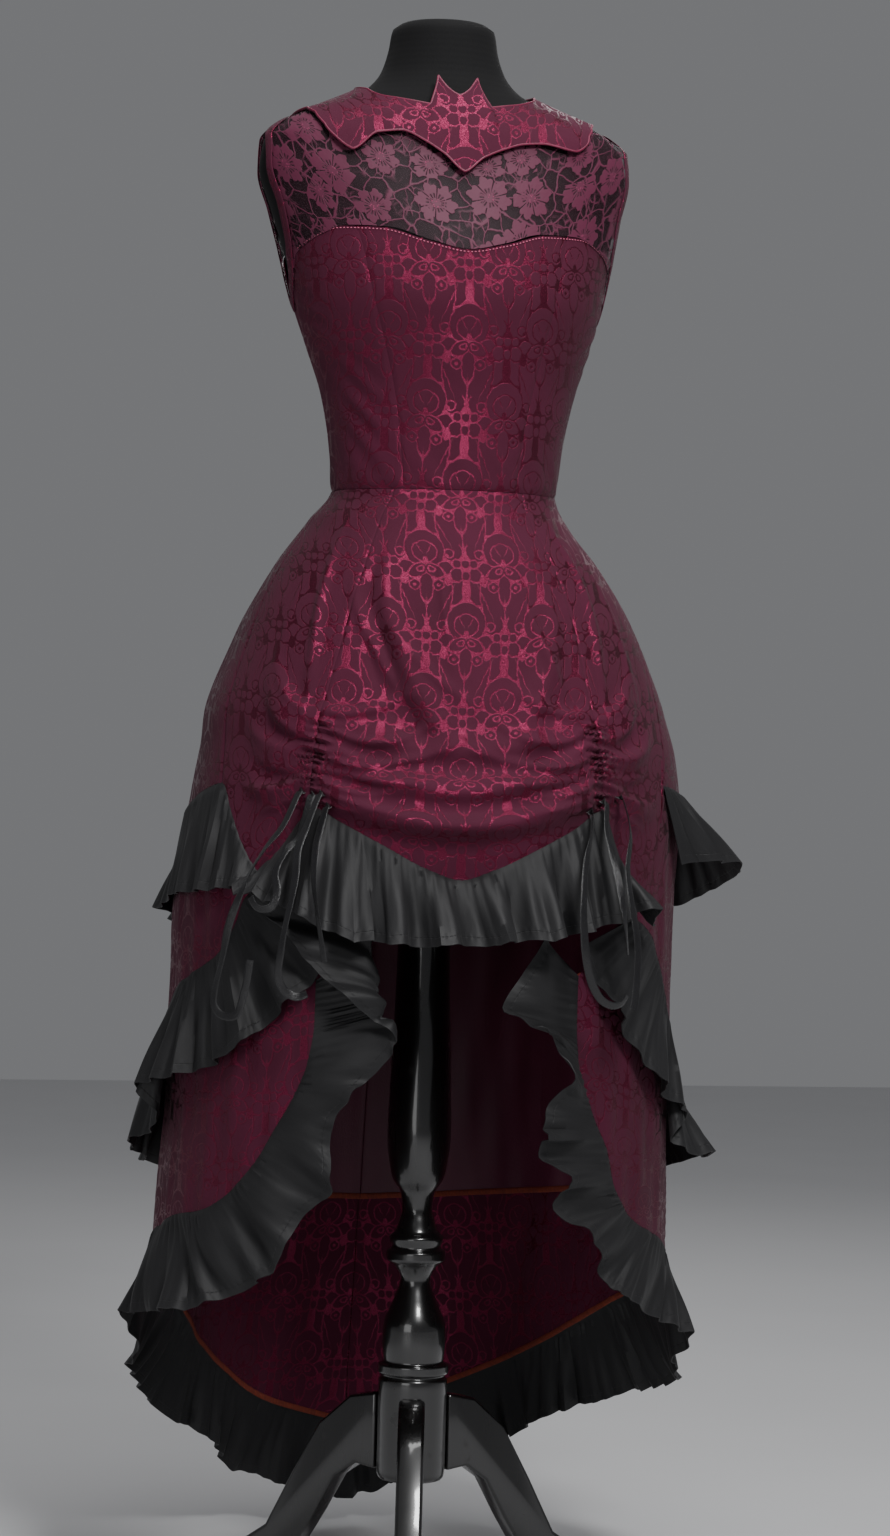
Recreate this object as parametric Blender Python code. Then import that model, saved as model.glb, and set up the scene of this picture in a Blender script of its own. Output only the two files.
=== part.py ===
# A sleeveless bustle dress of brocade with lace yoke and ruffles, on a limbless dress form with a turned stand.
# Metres, +Z up, the front faces -Y. Angles run round the vertical axis from the front, positive towards +X.
import math

import bmesh
import bpy
import numpy as np
from mathutils import Vector
from mathutils.bvhtree import BVHTree

BROCADE_THICKNESS = 0.0015
RUFFLE_THICKNESS = 0.0012
LACE_THICKNESS = 0.0012
COLLAR_THICKNESS = 0.002
SEAM_HALF_GAP = 0.0002
RUFFLE_SEAM_GAP = 0.0006
TIER_STEP = 0.0024
LINING_INSET = 0.016
LINING_TOP_INSET = 0.0023

WAIST_HEIGHT = 1.244
BODICE_CLEARANCE = 0.0018
YOKE_CLEARANCE = 0.0046
PRINCESS_ANGLE = 35.0
SIDE_ANGLE_AT_WAIST = 85.0
CENTRE_BACK_ANGLE = 179.9
FOLD_FADE_ANGLE = 46.0

FORM_SIDES = 32

# Height, half width, depth in front, depth behind and sideways shift of the dress form.
FORM_SECTIONS = [
    (1.7750, 0.050, 0.048, 0.050, -0.0050),
    (1.7690, 0.058, 0.056, 0.058, -0.0050),
    (1.7450, 0.0625, 0.058, 0.060, -0.0050),
    (1.7200, 0.071, 0.061, 0.066, -0.0045),
    (1.7000, 0.088, 0.067, 0.079, -0.0040),
    (1.6840, 0.120, 0.073, 0.087, -0.0030),
    (1.6700, 0.157, 0.079, 0.092, -0.0015),
    (1.6550, 0.187, 0.085, 0.096, -0.0010),
    (1.6380, 0.206, 0.091, 0.099, -0.0010),
    (1.6050, 0.211, 0.100, 0.103, -0.0010),
    (1.5600, 0.199, 0.110, 0.105, 0.0010),
    (1.5100, 0.185, 0.120, 0.105, 0.0040),
    (1.4620, 0.175, 0.123, 0.104, 0.0060),
    (1.4100, 0.159, 0.114, 0.101, 0.0085),
    (1.3500, 0.140, 0.103, 0.096, 0.0100),
    (1.2900, 0.129, 0.098, 0.092, 0.0095),
    (1.2350, 0.125, 0.097, 0.092, 0.0085),
    (1.1600, 0.144, 0.110, 0.114, 0.0040),
    (1.0500, 0.164, 0.125, 0.134, 0.0070),
    (0.9750, 0.156, 0.116, 0.124, 0.0080),
    (0.9450, 0.110, 0.085, 0.090, 0.0080),
]

# Height, half width, depth in front, depth behind, sideways shift and turn of the skirt's outer brocade.
SKIRT_SECTIONS = [
    (1.244, 0.1290, 0.1010, 0.0960, 0.0085, 0.0),
    (1.210, 0.1490, 0.1160, 0.1280, 0.0040, 0.0),
    (1.164, 0.1840, 0.1380, 0.1800, 0.0060, 0.0),
    (1.109, 0.2165, 0.1580, 0.2420, 0.0085, -1.0),
    (1.059, 0.2380, 0.1740, 0.2820, 0.0100, -2.0),
    (1.000, 0.2600, 0.1900, 0.3050, 0.0100, -3.0),
    (0.953, 0.2700, 0.2000, 0.3150, 0.0135, -4.0),
    (0.900, 0.2780, 0.2090, 0.3200, 0.0125, -4.0),
    (0.800, 0.2860, 0.2150, 0.3250, 0.0030, -2.0),
    (0.740, 0.2870, 0.2170, 0.3270, 0.0000, 0.0),
    (0.600, 0.2880, 0.2200, 0.3320, 0.0000, 0.0),
    (0.400, 0.2950, 0.2250, 0.3450, -0.0040, 0.0),
    (0.170, 0.3000, 0.2300, 0.3650, -0.0080, 0.0),
    (0.020, 0.3050, 0.2320, 0.3750, -0.0080, 0.0),
]

# Angle and height of the lower edge of the front panel between its two drawstring channels.
APRON_HEM = [
    (-35.0, 0.890), (-26.0, 0.872), (-16.5, 0.849), (-7.0, 0.824), (0.0, 0.813),
    (7.0, 0.824), (17.0, 0.848), (26.0, 0.870), (35.0, 0.892),
]

# Angle and height along the lower edge of each front side panel, gather point, lowest point, side seam.
SIDE_HEM = {
    "right": [(-35.0, 0.890), (-38.0, 0.868), (-41.5, 0.845), (-44.5, 0.828), (-47.5, 0.815),
              (-54.0, 0.845), (-60.0, 0.880), (-66.5, 0.911)],
    "left": [(35.0, 0.892), (38.0, 0.860), (41.5, 0.830), (44.5, 0.803), (47.5, 0.785),
             (52.5, 0.812), (58.0, 0.862), (62.0, 0.920)],
}

# Angle and height along the ruffle seam of each tier, from the front to the centre back.
TIER_ONE_BACK = {
    "right": [(-66.5, 0.911), (-78.0, 0.902), (-90.0, 0.890), (-102.0, 0.877), (-115.0, 0.862),
              (-128.0, 0.845), (-141.0, 0.830), (-154.0, 0.815), (-167.0, 0.805), (-179.9, 0.800)],
    "left": [(62.0, 0.920), (76.0, 0.913), (89.0, 0.900), (102.0, 0.885), (115.0, 0.868),
             (128.0, 0.850), (141.0, 0.833), (154.0, 0.818), (167.0, 0.806), (179.9, 0.800)],
}
TIER_TWO_SEAM = {
    "right": [(-48.5, 0.800), (-52.5, 0.785), (-56.5, 0.757), (-61.0, 0.728), (-71.0, 0.705),
              (-84.5, 0.684), (-96.0, 0.655), (-108.0, 0.625), (-122.0, 0.592), (-136.0, 0.560),
              (-150.0, 0.532), (-165.0, 0.510), (-179.9, 0.500)],
    "left": [(47.5, 0.773), (53.0, 0.760), (59.0, 0.735), (64.0, 0.700), (68.0, 0.665),
             (78.0, 0.606), (92.0, 0.582), (106.0, 0.562), (120.0, 0.545), (134.0, 0.530),
             (149.0, 0.515), (164.0, 0.505), (179.9, 0.500)],
}
TIER_THREE_SEAM = {
    "right": [(-33.5, 0.700), (-33.5, 0.655), (-35.0, 0.610), (-38.5, 0.572), (-44.5, 0.522),
              (-52.0, 0.475), (-63.0, 0.443), (-79.5, 0.429), (-100.0, 0.395), (-120.0, 0.320),
              (-140.0, 0.232), (-160.0, 0.160), (-179.9, 0.130)],
    "left": [(28.5, 0.710), (28.5, 0.660), (29.5, 0.610), (33.0, 0.565), (38.0, 0.520),
             (42.0, 0.470), (50.0, 0.435), (66.0, 0.410), (88.0, 0.367), (110.0, 0.315),
             (133.0, 0.243), (156.0, 0.182), (179.9, 0.130)],
}
LINING_HEM = {
    "right": [(-56.0, 0.462), (-66.0, 0.452), (-79.0, 0.444), (-93.0, 0.437), (-107.0, 0.430),
              (-121.0, 0.424), (-135.0, 0.418), (-150.0, 0.413), (-165.0, 0.410), (-179.9, 0.408)],
    "left": [(52.0, 0.478), (63.0, 0.470), (77.0, 0.462), (91.0, 0.454), (106.0, 0.445),
             (121.0, 0.436), (135.0, 0.427), (150.0, 0.418), (165.0, 0.411), (179.9, 0.408)],
}

# Start angle and height, end angle and height, sag, half width and depth of the apron's main folds.
APRON_FOLDS = [
    (-36.0, 0.992, 34.0, 0.995, 0.040, 0.013, 0.008),
    (-36.0, 0.962, 35.0, 0.968, 0.055, 0.014, 0.014),
    (-36.0, 0.930, 35.0, 0.936, 0.058, 0.013, 0.015),
    (-36.0, 0.905, 35.0, 0.910, 0.040, 0.012, 0.010),
    (-31.0, 1.120, -6.0, 0.950, 0.012, 0.014, -0.009),
    (-27.0, 1.135, -1.0, 0.965, 0.012, 0.015, 0.008),
    (28.0, 1.090, 12.0, 0.965, 0.010, 0.014, 0.006),
    (-37.0, 0.975, -60.0, 1.050, 0.012, 0.014, 0.009),
    (-37.0, 0.945, -62.0, 0.985, 0.016, 0.013, 0.010),
    (-37.0, 0.915, -58.0, 0.925, 0.018, 0.012, 0.009),
    (37.0, 0.978, 58.0, 1.045, 0.012, 0.014, 0.008),
    (37.0, 0.948, 60.0, 0.985, 0.016, 0.013, 0.010),
    (37.0, 0.918, 58.0, 0.900, 0.016, 0.012, 0.009),
]

# Place along the seam in panel widths, then angle, height and stand-off of the free edge.
APRON_RUFFLE = [
    (0.0, -48.8, 0.799, 0.034), (1.0, -46.5, 0.796, 0.052), (2.0, -43.0, 0.792, 0.042),
    (3.0, -39.0, 0.786, 0.055), (4.0, -35.0, 0.779, 0.044), (5.2, -31.0, 0.768, 0.058),
    (6.4, -26.5, 0.755, 0.040), (7.4, -22.0, 0.747, 0.052), (8.3, -19.5, 0.746, 0.026),
    (9.6, -15.5, 0.744, 0.050), (11.0, -10.5, 0.742, 0.030), (12.5, -5.0, 0.743, 0.050),
    (14.0, 0.5, 0.744, 0.034), (15.5, 6.0, 0.747, 0.054), (17.0, 11.0, 0.750, 0.032),
    (18.5, 16.0, 0.752, 0.052), (20.0, 20.5, 0.756, 0.030), (21.2, 24.5, 0.760, 0.050),
    (22.4, 28.5, 0.765, 0.030), (23.6, 33.0, 0.773, 0.052), (24.8, 37.5, 0.781, 0.034),
    (26.0, 42.0, 0.784, 0.052), (27.0, 45.0, 0.776, 0.036), (28.0, 48.0, 0.768, 0.024),
]
TIER_ONE_RUFFLE = {
    "right": [
        (0.0, -48.0, 0.797, 0.008), (1.0, -53.0, 0.798, 0.018), (2.0, -58.5, 0.796, 0.010),
        (3.0, -64.5, 0.792, 0.020), (3.6, -71.0, 0.790, 0.006), (4.3, -78.0, 0.788, 0.014),
        (4.9, -85.0, 0.786, 0.004), (5.6, -93.0, 0.780, 0.010), (6.2, -100.0, 0.774, 0.005),
        (6.9, -107.0, 0.766, 0.022), (7.5, -114.0, 0.757, 0.008), (8.2, -123.0, 0.748, 0.030)],
    "left": [
        (3.0, 67.0, 0.832, 0.012), (3.3, 72.5, 0.836, 0.034), (3.7, 79.5, 0.836, 0.058),
        (4.2, 87.0, 0.828, 0.078), (4.8, 95.0, 0.809, 0.072), (5.5, 101.0, 0.789, 0.046),
        (6.2, 107.0, 0.774, 0.018), (6.9, 115.0, 0.766, 0.044), (7.5, 121.0, 0.760, 0.014),
        (8.2, 129.0, 0.752, 0.040)],
}
TIER_TWO_RUFFLE = {
    "right": [
        (0.0, -27.0, 0.740, 0.010), (0.7, -31.5, 0.706, 0.012), (1.4, -37.0, 0.680, 0.022),
        (2.2, -44.0, 0.650, 0.010), (3.0, -51.0, 0.622, 0.030), (3.7, -61.0, 0.600, 0.010),
        (4.3, -74.0, 0.585, 0.030), (4.9, -89.0, 0.566, 0.036), (5.4, -85.0, 0.535, 0.012),
        (6.0, -94.0, 0.514, 0.022), (6.6, -107.0, 0.489, 0.036), (7.2, -110.0, 0.478, 0.014),
        (7.8, -119.0, 0.468, 0.046), (8.4, -127.0, 0.458, 0.016)],
    "left": [
        (0.0, 27.0, 0.742, 0.010), (0.8, 30.0, 0.708, 0.010), (1.6, 35.5, 0.672, 0.022),
        (2.4, 42.0, 0.636, 0.010), (3.1, 50.0, 0.600, 0.024), (3.8, 60.0, 0.572, 0.008),
        (4.4, 68.5, 0.552, 0.024), (4.9, 66.0, 0.520, 0.008), (5.5, 74.0, 0.504, 0.036),
        (6.1, 87.0, 0.498, 0.054), (6.8, 97.0, 0.484, 0.036), (7.4, 106.0, 0.466, 0.014),
        (8.0, 116.0, 0.458, 0.044), (8.6, 124.0, 0.450, 0.016)],
}
# As above, with angle, height and stand-off of the middle of the ruffle before those of its free edge.
TIER_THREE_RUFFLE = {
    "right": [
        (0.0, -22.0, 0.765, 0.002, -46.0, 0.795, 0.030), (0.5, -19.5, 0.715, 0.004, -38.0, 0.752, 0.031),
        (1.0, -18.0, 0.680, 0.004, -27.0, 0.694, 0.027), (1.5, -19.0, 0.650, 0.002, -14.5, 0.637, 0.012),
        (2.2, -26.0, 0.607, 0.006, -19.0, 0.602, 0.000), (2.9, -31.0, 0.571, 0.002, -25.0, 0.571, 0.016),
        (3.5, -33.5, 0.537, 0.010, -28.0, 0.527, 0.004), (4.1, -35.0, 0.498, 0.002, -26.0, 0.479, 0.022),
        (4.8, -42.0, 0.463, 0.012, -33.5, 0.443, 0.002), (5.4, -47.0, 0.426, 0.000, -38.0, 0.388, 0.026),
        (6.1, -55.0, 0.399, 0.012, -46.5, 0.360, 0.006), (6.8, -69.0, 0.384, 0.004, -63.0, 0.335, 0.034),
        (7.4, -84.0, 0.365, 0.014, -81.0, 0.322, 0.012), (8.0, -99.5, 0.349, 0.004, -99.0, 0.304, 0.024),
        (8.5, -107.0, 0.312, 0.002, -100.0, 0.268, 0.002), (9.1, -120.0, 0.270, 0.004, -113.0, 0.226, 0.022)],
    "left": [
        (0.0, 22.0, 0.735, 0.000, 18.5, 0.752, 0.008), (0.5, 19.5, 0.700, 0.004, 13.5, 0.712, -0.002),
        (1.0, 17.5, 0.668, 0.000, 8.5, 0.677, 0.006), (1.6, 22.0, 0.645, 0.006, 17.0, 0.654, 0.014),
        (2.2, 26.0, 0.617, 0.000, 22.0, 0.632, 0.002), (2.7, 27.5, 0.587, 0.006, 24.5, 0.602, 0.014),
        (3.2, 26.5, 0.562, 0.000, 20.0, 0.567, 0.000), (3.7, 27.0, 0.537, 0.008, 17.8, 0.541, 0.018),
        (4.2, 28.5, 0.511, 0.000, 18.0, 0.514, 0.002), (4.6, 32.0, 0.489, 0.008, 24.5, 0.488, 0.018),
        (5.1, 33.0, 0.464, 0.000, 22.0, 0.459, 0.002), (5.6, 39.0, 0.436, 0.008, 31.0, 0.420, 0.024),
        (6.1, 43.0, 0.409, 0.002, 34.5, 0.385, 0.004), (6.6, 47.0, 0.390, 0.010, 38.0, 0.362, 0.028),
        (7.1, 59.0, 0.370, 0.004, 52.0, 0.333, 0.008), (7.7, 77.0, 0.342, 0.010, 73.0, 0.296, 0.030),
        (8.2, 87.0, 0.312, 0.004, 82.0, 0.262, 0.010), (8.8, 101.0, 0.270, 0.012, 97.0, 0.228, 0.036)],
}
RUFFLE_DROP = 0.098
TIER_DROP = 0.001
APRON_COLUMNS = 20
APRON_ROWS = (0.0, 0.045, 0.09, 0.135, 0.18, 0.225, 0.27, 0.32, 0.38, 0.47, 0.59, 0.73, 0.87, 1.0)
LINING_HUNG_ROW = 7
LINING_ROWS = 4
SIDES = (("right", -1.0), ("left", 1.0))

# Angle from the front and height of the bust seam, the armhole and the back yoke seam.
BUST_SEAM = [
    (0.0, 1.508), (14.0, 1.517), (28.0, 1.530), (45.0, 1.532), (58.0, 1.523), (72.0, 1.510),
    (80.0, 1.500), (86.0, 1.474), (90.0, 1.462), (95.0, 1.474), (101.0, 1.500), (112.0, 1.512),
    (140.0, 1.522), (180.0, 1.525),
]
BODICE_PRINCESS_LOW = 30.0
BODICE_PRINCESS_TOP = 38.0
SEAM_RISE = 0.0006
NECKLINE = [(0.0, 1.652), (20.0, 1.658), (45.0, 1.674), (70.0, 1.688), (90.0, 1.692), (120.0, 1.690), (180.0, 1.686)]
YOKE_ROWS = (0.0, 0.17, 0.34, 0.51, 0.66, 0.78, 0.88, 0.95, 1.0)
ARMHOLE_EDGE = [
    (1.495, 81.33, 101.24), (1.530, 76.5, 104.5), (1.570, 74.0, 107.0), (1.605, 74.0, 107.0),
    (1.635, 78.0, 103.0), (1.650, 84.0, 97.0), (1.657, 89.9, 90.1), (1.700, 89.9, 90.1),
]
ARMHOLE_LOOP = [
    (90.0, 1.459), (85.0, 1.474), (79.0, 1.500), (75.2, 1.530), (72.8, 1.570), (72.8, 1.605),
    (76.5, 1.633), (83.0, 1.649), (90.0, 1.657), (98.0, 1.649), (104.5, 1.633), (108.2, 1.605),
    (108.2, 1.570), (105.5, 1.530), (102.0, 1.500), (96.0, 1.474),
]
BINDING_WIDTH = 0.016
BINDING_THICKNESS = 0.0014
BINDING_LIFT = 0.0014
BINDING_TOP = 1.661

# Angle, height and stand-off from the form of the collar's lower edge, then those of its top.
COLLAR_OUTLINE = [
    (-178.5, 1.640, 0.016, -178.5, 1.703, 0.013), (-150.0, 1.632, 0.016, -150.0, 1.703, 0.013),
    (-125.0, 1.647, 0.016, -125.0, 1.702, 0.014), (-100.0, 1.668, 0.014, -100.0, 1.700, 0.013),
    (-80.0, 1.672, 0.013, -82.0, 1.698, 0.013), (-68.0, 1.668, 0.016, -71.0, 1.696, 0.013),
    (-58.0, 1.662, 0.013, -60.0, 1.693, 0.012), (-46.0, 1.647, 0.013, -50.0, 1.688, 0.012),
    (-33.0, 1.617, 0.015, -38.0, 1.682, 0.012), (-26.0, 1.637, 0.014, -29.0, 1.679, 0.013),
    (-18.0, 1.640, 0.014, -21.0, 1.676, 0.014), (-11.0, 1.628, 0.015, -12.0, 1.672, 0.015),
    (-5.5, 1.614, 0.016, -13.0, 1.706, 0.018), (0.0, 1.595, 0.016, 0.0, 1.684, 0.017),
    (5.5, 1.612, 0.016, 13.0, 1.705, 0.018), (11.0, 1.622, 0.015, 12.0, 1.672, 0.015),
    (18.0, 1.631, 0.014, 21.0, 1.676, 0.014), (26.0, 1.634, 0.014, 29.0, 1.679, 0.013),
    (37.0, 1.629, 0.015, 40.0, 1.684, 0.012), (48.0, 1.650, 0.013, 52.0, 1.689, 0.012),
    (59.0, 1.662, 0.013, 61.0, 1.693, 0.012), (69.0, 1.668, 0.016, 71.0, 1.696, 0.013),
    (80.0, 1.672, 0.013, 82.0, 1.698, 0.013), (100.0, 1.668, 0.014, 100.0, 1.700, 0.013),
    (125.0, 1.647, 0.016, 125.0, 1.702, 0.014), (150.0, 1.632, 0.016, 150.0, 1.703, 0.013),
    (178.5, 1.640, 0.016, 178.5, 1.703, 0.013),
]

# Height and radius of the turned post, from the bottom of its block to the form.
POST_PROFILE = [
    (0.124, 0.020), (0.126, 0.034), (0.136, 0.039), (0.238, 0.039), (0.244, 0.036),
    (0.248, 0.040), (0.256, 0.040), (0.260, 0.034), (0.280, 0.036), (0.300, 0.0355),
    (0.330, 0.024), (0.352, 0.017), (0.368, 0.024), (0.376, 0.0335), (0.384, 0.0335),
    (0.390, 0.028), (0.400, 0.031), (0.408, 0.024), (0.420, 0.020), (0.432, 0.017),
    (0.450, 0.019), (0.470, 0.030), (0.520, 0.0365), (0.600, 0.034), (0.720, 0.030),
    (0.900, 0.028), (0.9444, 0.028),
]
LEG_BEARINGS = (-12.0, 108.0, 228.0)
LEG_THICKNESS = 0.030
# Distance from the axis and height of a leg's upper edge and its lower edge.
LEG_UPPER = [(0.0393, 0.222), (0.075, 0.215), (0.115, 0.180), (0.150, 0.120), (0.185, 0.055), (0.225, 0.028),
             (0.262, 0.024)]
LEG_LOWER = [(0.0393, 0.134), (0.066, 0.138), (0.092, 0.120), (0.118, 0.075), (0.152, 0.022), (0.200, 0.0),
             (0.262, 0.0)]

RIBBON_RADIUS = 0.0035
RIBBON_STEP = 0.022
RIBBON_GAP = 0.0003
RIBBON_LEAD = 0.009
RIBBON_REACH = 0.06
# Angle, height and stand-off along each drawstring ribbon, from the cloth at its channel to its free end.
RIBBONS = {
    "ribbon_right_loop": [
        (-36.6, 0.904, 0.0), (-37.2, 0.868, 0.036), (-39.6, 0.844, 0.046),
        (-41.3, 0.819, 0.058), (-42.9, 0.792, 0.066), (-46.3, 0.760, 0.064), (-48.8, 0.723, 0.058),
        (-51.1, 0.689, 0.053), (-51.4, 0.671, 0.052), (-49.5, 0.661, 0.051), (-45.9, 0.663, 0.051),
        (-44.0, 0.695, 0.051), (-43.1, 0.722, 0.052)],
    "ribbon_right_low": [
        (-33.3, 0.900, 0.0), (-33.2, 0.857, 0.036), (-35.1, 0.841, 0.046), (-36.3, 0.818, 0.056),
        (-35.4, 0.797, 0.062), (-36.6, 0.780, 0.066), (-39.5, 0.779, 0.066), (-40.7, 0.790, 0.066)],
    "ribbon_right_tail": [
        (-31.0, 0.902, 0.0), (-31.2, 0.868, 0.044), (-31.9, 0.842, 0.054), (-31.6, 0.812, 0.063), (-32.3, 0.787, 0.069),
        (-34.0, 0.759, 0.071), (-34.9, 0.735, 0.071), (-35.7, 0.708, 0.067), (-34.8, 0.692, 0.062),
        (-32.7, 0.685, 0.058), (-30.7, 0.689, 0.057)],
    "ribbon_right_front": [
        (-28.9, 0.889, 0.0), (-29.2, 0.862, 0.034), (-29.0, 0.844, 0.044), (-28.2, 0.811, 0.060), (-27.7, 0.777, 0.068),
        (-27.6, 0.747, 0.068), (-27.2, 0.724, 0.064)],
    "ribbon_left_loop": [
        (29.8, 0.890, 0.0), (28.2, 0.868, 0.028), (24.7, 0.838, 0.044), (22.0, 0.803, 0.060),
        (20.5, 0.769, 0.066), (20.4, 0.737, 0.066), (22.0, 0.709, 0.062), (24.6, 0.689, 0.058),
        (27.6, 0.681, 0.056), (30.0, 0.683, 0.056), (31.2, 0.692, 0.056)],
    "ribbon_left_tail": [
        (38.3, 0.906, 0.0), (36.0, 0.868, 0.042), (33.0, 0.830, 0.054), (31.7, 0.791, 0.066),
        (31.1, 0.752, 0.072), (31.1, 0.713, 0.072), (30.7, 0.676, 0.070)],
    "ribbon_left_front": [
        (33.2, 0.901, 0.0), (31.0, 0.872, 0.034), (30.0, 0.850, 0.048), (29.3, 0.815, 0.064), (28.5, 0.775, 0.074),
        (28.5, 0.737, 0.074)],
}

COLOURS = {
    "brocade": ((0.13, 0.012, 0.042, 1.0), 0.55, 0.0),
    "lining": ((0.10, 0.008, 0.035, 1.0), 0.6, 0.0),
    "lace": ((0.16, 0.018, 0.055, 1.0), 0.7, 0.0),
    "ruffle": ((0.018, 0.018, 0.020, 1.0), 0.7, 0.0),
    "ribbon": ((0.02, 0.02, 0.022, 1.0), 0.3, 0.0),
    "form": ((0.004, 0.004, 0.005, 1.0), 0.9, 0.0),
    "stand": ((0.008, 0.008, 0.009, 1.0), 0.25, 0.0),
}


def clear_scene():
    for item in list(bpy.data.objects):
        bpy.data.objects.remove(item, do_unlink=True)


def material(name, finish):
    colour, roughness, metallic = COLOURS[finish]
    result = bpy.data.materials.new(name)
    result.use_nodes = True
    shader = result.node_tree.nodes["Principled BSDF"]
    shader.inputs["Base Color"].default_value = colour
    shader.inputs["Roughness"].default_value = roughness
    shader.inputs["Metallic"].default_value = metallic
    return result


def add_object(name, shape, finish):
    data = bpy.data.meshes.new(name)
    shape.to_mesh(data)
    shape.free()
    data.shade_smooth()
    data.set_sharp_from_angle(angle=math.radians(50.0))
    item = bpy.data.objects.new(name, data)
    data.materials.append(material(name, finish))
    bpy.context.scene.collection.objects.link(item)
    return item


def smooth_table(rows, key, column=0):
    """Reads every column of a table at a key, on a smooth curve through its rows."""
    keys = [row[column] for row in rows]
    ordered = rows
    if keys[0] > keys[-1]:
        ordered = rows[::-1]
        keys = keys[::-1]
    key = min(max(key, keys[0]), keys[-1])
    last = len(keys) - 2
    index = min(max(int(np.searchsorted(keys, key, side="right")) - 1, 0), last)
    before = ordered[max(index - 1, 0)]
    start = ordered[index]
    end = ordered[index + 1]
    after = ordered[min(index + 2, last + 1)]
    span = keys[index + 1] - keys[index]
    t = (key - keys[index]) / span
    values = []
    for place in range(len(start)):
        rise = end[place] - start[place]
        slope_in = limited_slope(start[place] - before[place], start[column] - before[column], rise, span)
        slope_out = limited_slope(after[place] - end[place], after[column] - end[column], rise, span)
        values.append(hermite(start[place], end[place], slope_in * span, slope_out * span, t))
    return values


def limited_slope(rise_a, span_a, rise_b, span_b):
    if span_a == 0.0 or span_b == 0.0 or rise_a * rise_b <= 0.0:
        return 0.0
    slope_a = rise_a / span_a
    slope_b = rise_b / span_b
    return 2.0 * slope_a * slope_b / (slope_a + slope_b)


def hermite(start, end, slope_start, slope_end, t):
    t2 = t * t
    t3 = t2 * t
    return ((2 * t3 - 3 * t2 + 1) * start + (t3 - 2 * t2 + t) * slope_start
            + (3 * t2 - 2 * t3) * end + (t3 - t2) * slope_end)


def ring_point(sections, angle, height, out):
    half_width, front, back, shift = smooth_table(sections, height)[1:5]
    turn = math.radians(angle)
    depth = front if math.cos(turn) > 0.0 else back
    return Vector((shift + (half_width + out) * math.sin(turn), -(depth + out) * math.cos(turn), height))


def form_point(angle, height, out):
    return ring_point(FORM_SECTIONS, angle, height, out)


def skirt_ripple(angle, height):
    """Soft upright folds at the sides and back, growing towards the hem."""
    reach = min(max((abs(angle) - 62.0) / 40.0, 0.0), 1.0)
    growth = min(max((0.95 - height) / 0.6, 0.0), 1.0)
    wave = math.sin(math.radians(angle) * 7.0 + 1.3) + 0.5 * math.sin(math.radians(angle) * 10.0 + height * 3.0)
    return 0.004 * reach * growth * wave


def skirt_point(angle, height, out):
    turned = angle + smooth_table(SKIRT_SECTIONS, height)[5]
    return ring_point(SKIRT_SECTIONS, turned, height, out + skirt_ripple(angle, height))


def fold_depth(angle, height):
    """How far the folds of the gathered apron stand out from the plain skirt."""
    radius = 0.24
    total = 0.0
    for start, start_height, end, end_height, sag, width, depth in APRON_FOLDS:
        t = (angle - start) / (end - start)
        if t < -0.15 or t > 1.15:
            continue
        t = min(max(t, 0.0), 1.0)
        path = start_height + (end_height - start_height) * t - sag * 4.0 * t * (1.0 - t)
        slope = (end_height - start_height - sag * 4.0 * (1.0 - 2.0 * t)) / (math.radians(end - start) * radius)
        distance = (height - path) / math.sqrt(1.0 + slope * slope)
        total += depth * math.exp(-(distance / width) ** 2) * (0.35 + 0.65 * math.sin(math.pi * t))
    fade = min(max((FOLD_FADE_ANGLE + 14.0 - abs(angle)) / 14.0, 0.0), 1.0)
    return total * fade


def apron_puff(angle, height):
    """The cloth's swelling between the channels and above the hem."""
    across = max(math.cos(math.radians(angle * 90.0 / 40.0)), 0.0) if abs(angle) < 40.0 else 0.0
    up = math.exp(-((height - 0.875) / 0.07) ** 2)
    return 0.020 * across * up


def apron_point(angle, height, out):
    lift = fold_depth(angle, height) + apron_puff(angle, height)
    return skirt_point(angle, height, max(lift, -0.004) + out)


def spread(rows, count):
    """Count equal steps along a table of points, straight from row to row."""
    result = []
    for step in range(count + 1):
        place = step / count * (len(rows) - 1)
        index = min(int(place), len(rows) - 2)
        share = place - index
        result.append(tuple(a + (b - a) * share for a, b in zip(rows[index], rows[index + 1])))
    return result


def triangulated(name, shape, finish):
    bmesh.ops.triangulate(shape, faces=shape.faces[:])
    return add_object(name, shape, finish)


def sheet(name, points, thickness, finish):
    """A cloth wall: a grid shaped through rows of points, upper row last, thickened inwards."""
    rows = len(points)
    columns = len(points[0])
    shape = bmesh.new()
    bmesh.ops.create_grid(shape, x_segments=columns - 1, y_segments=rows - 1, size=1.0)
    for vertex in shape.verts:
        column = round((vertex.co.x + 1.0) / 2.0 * (columns - 1))
        row = round((vertex.co.y + 1.0) / 2.0 * (rows - 1))
        vertex.co = points[row][column]
    item = triangulated(name, shape, finish)
    thicken = item.modifiers.new("Thickness", "SOLIDIFY")
    thicken.thickness = thickness
    thicken.offset = -1.0
    thicken.use_even_offset = False
    return item


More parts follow.
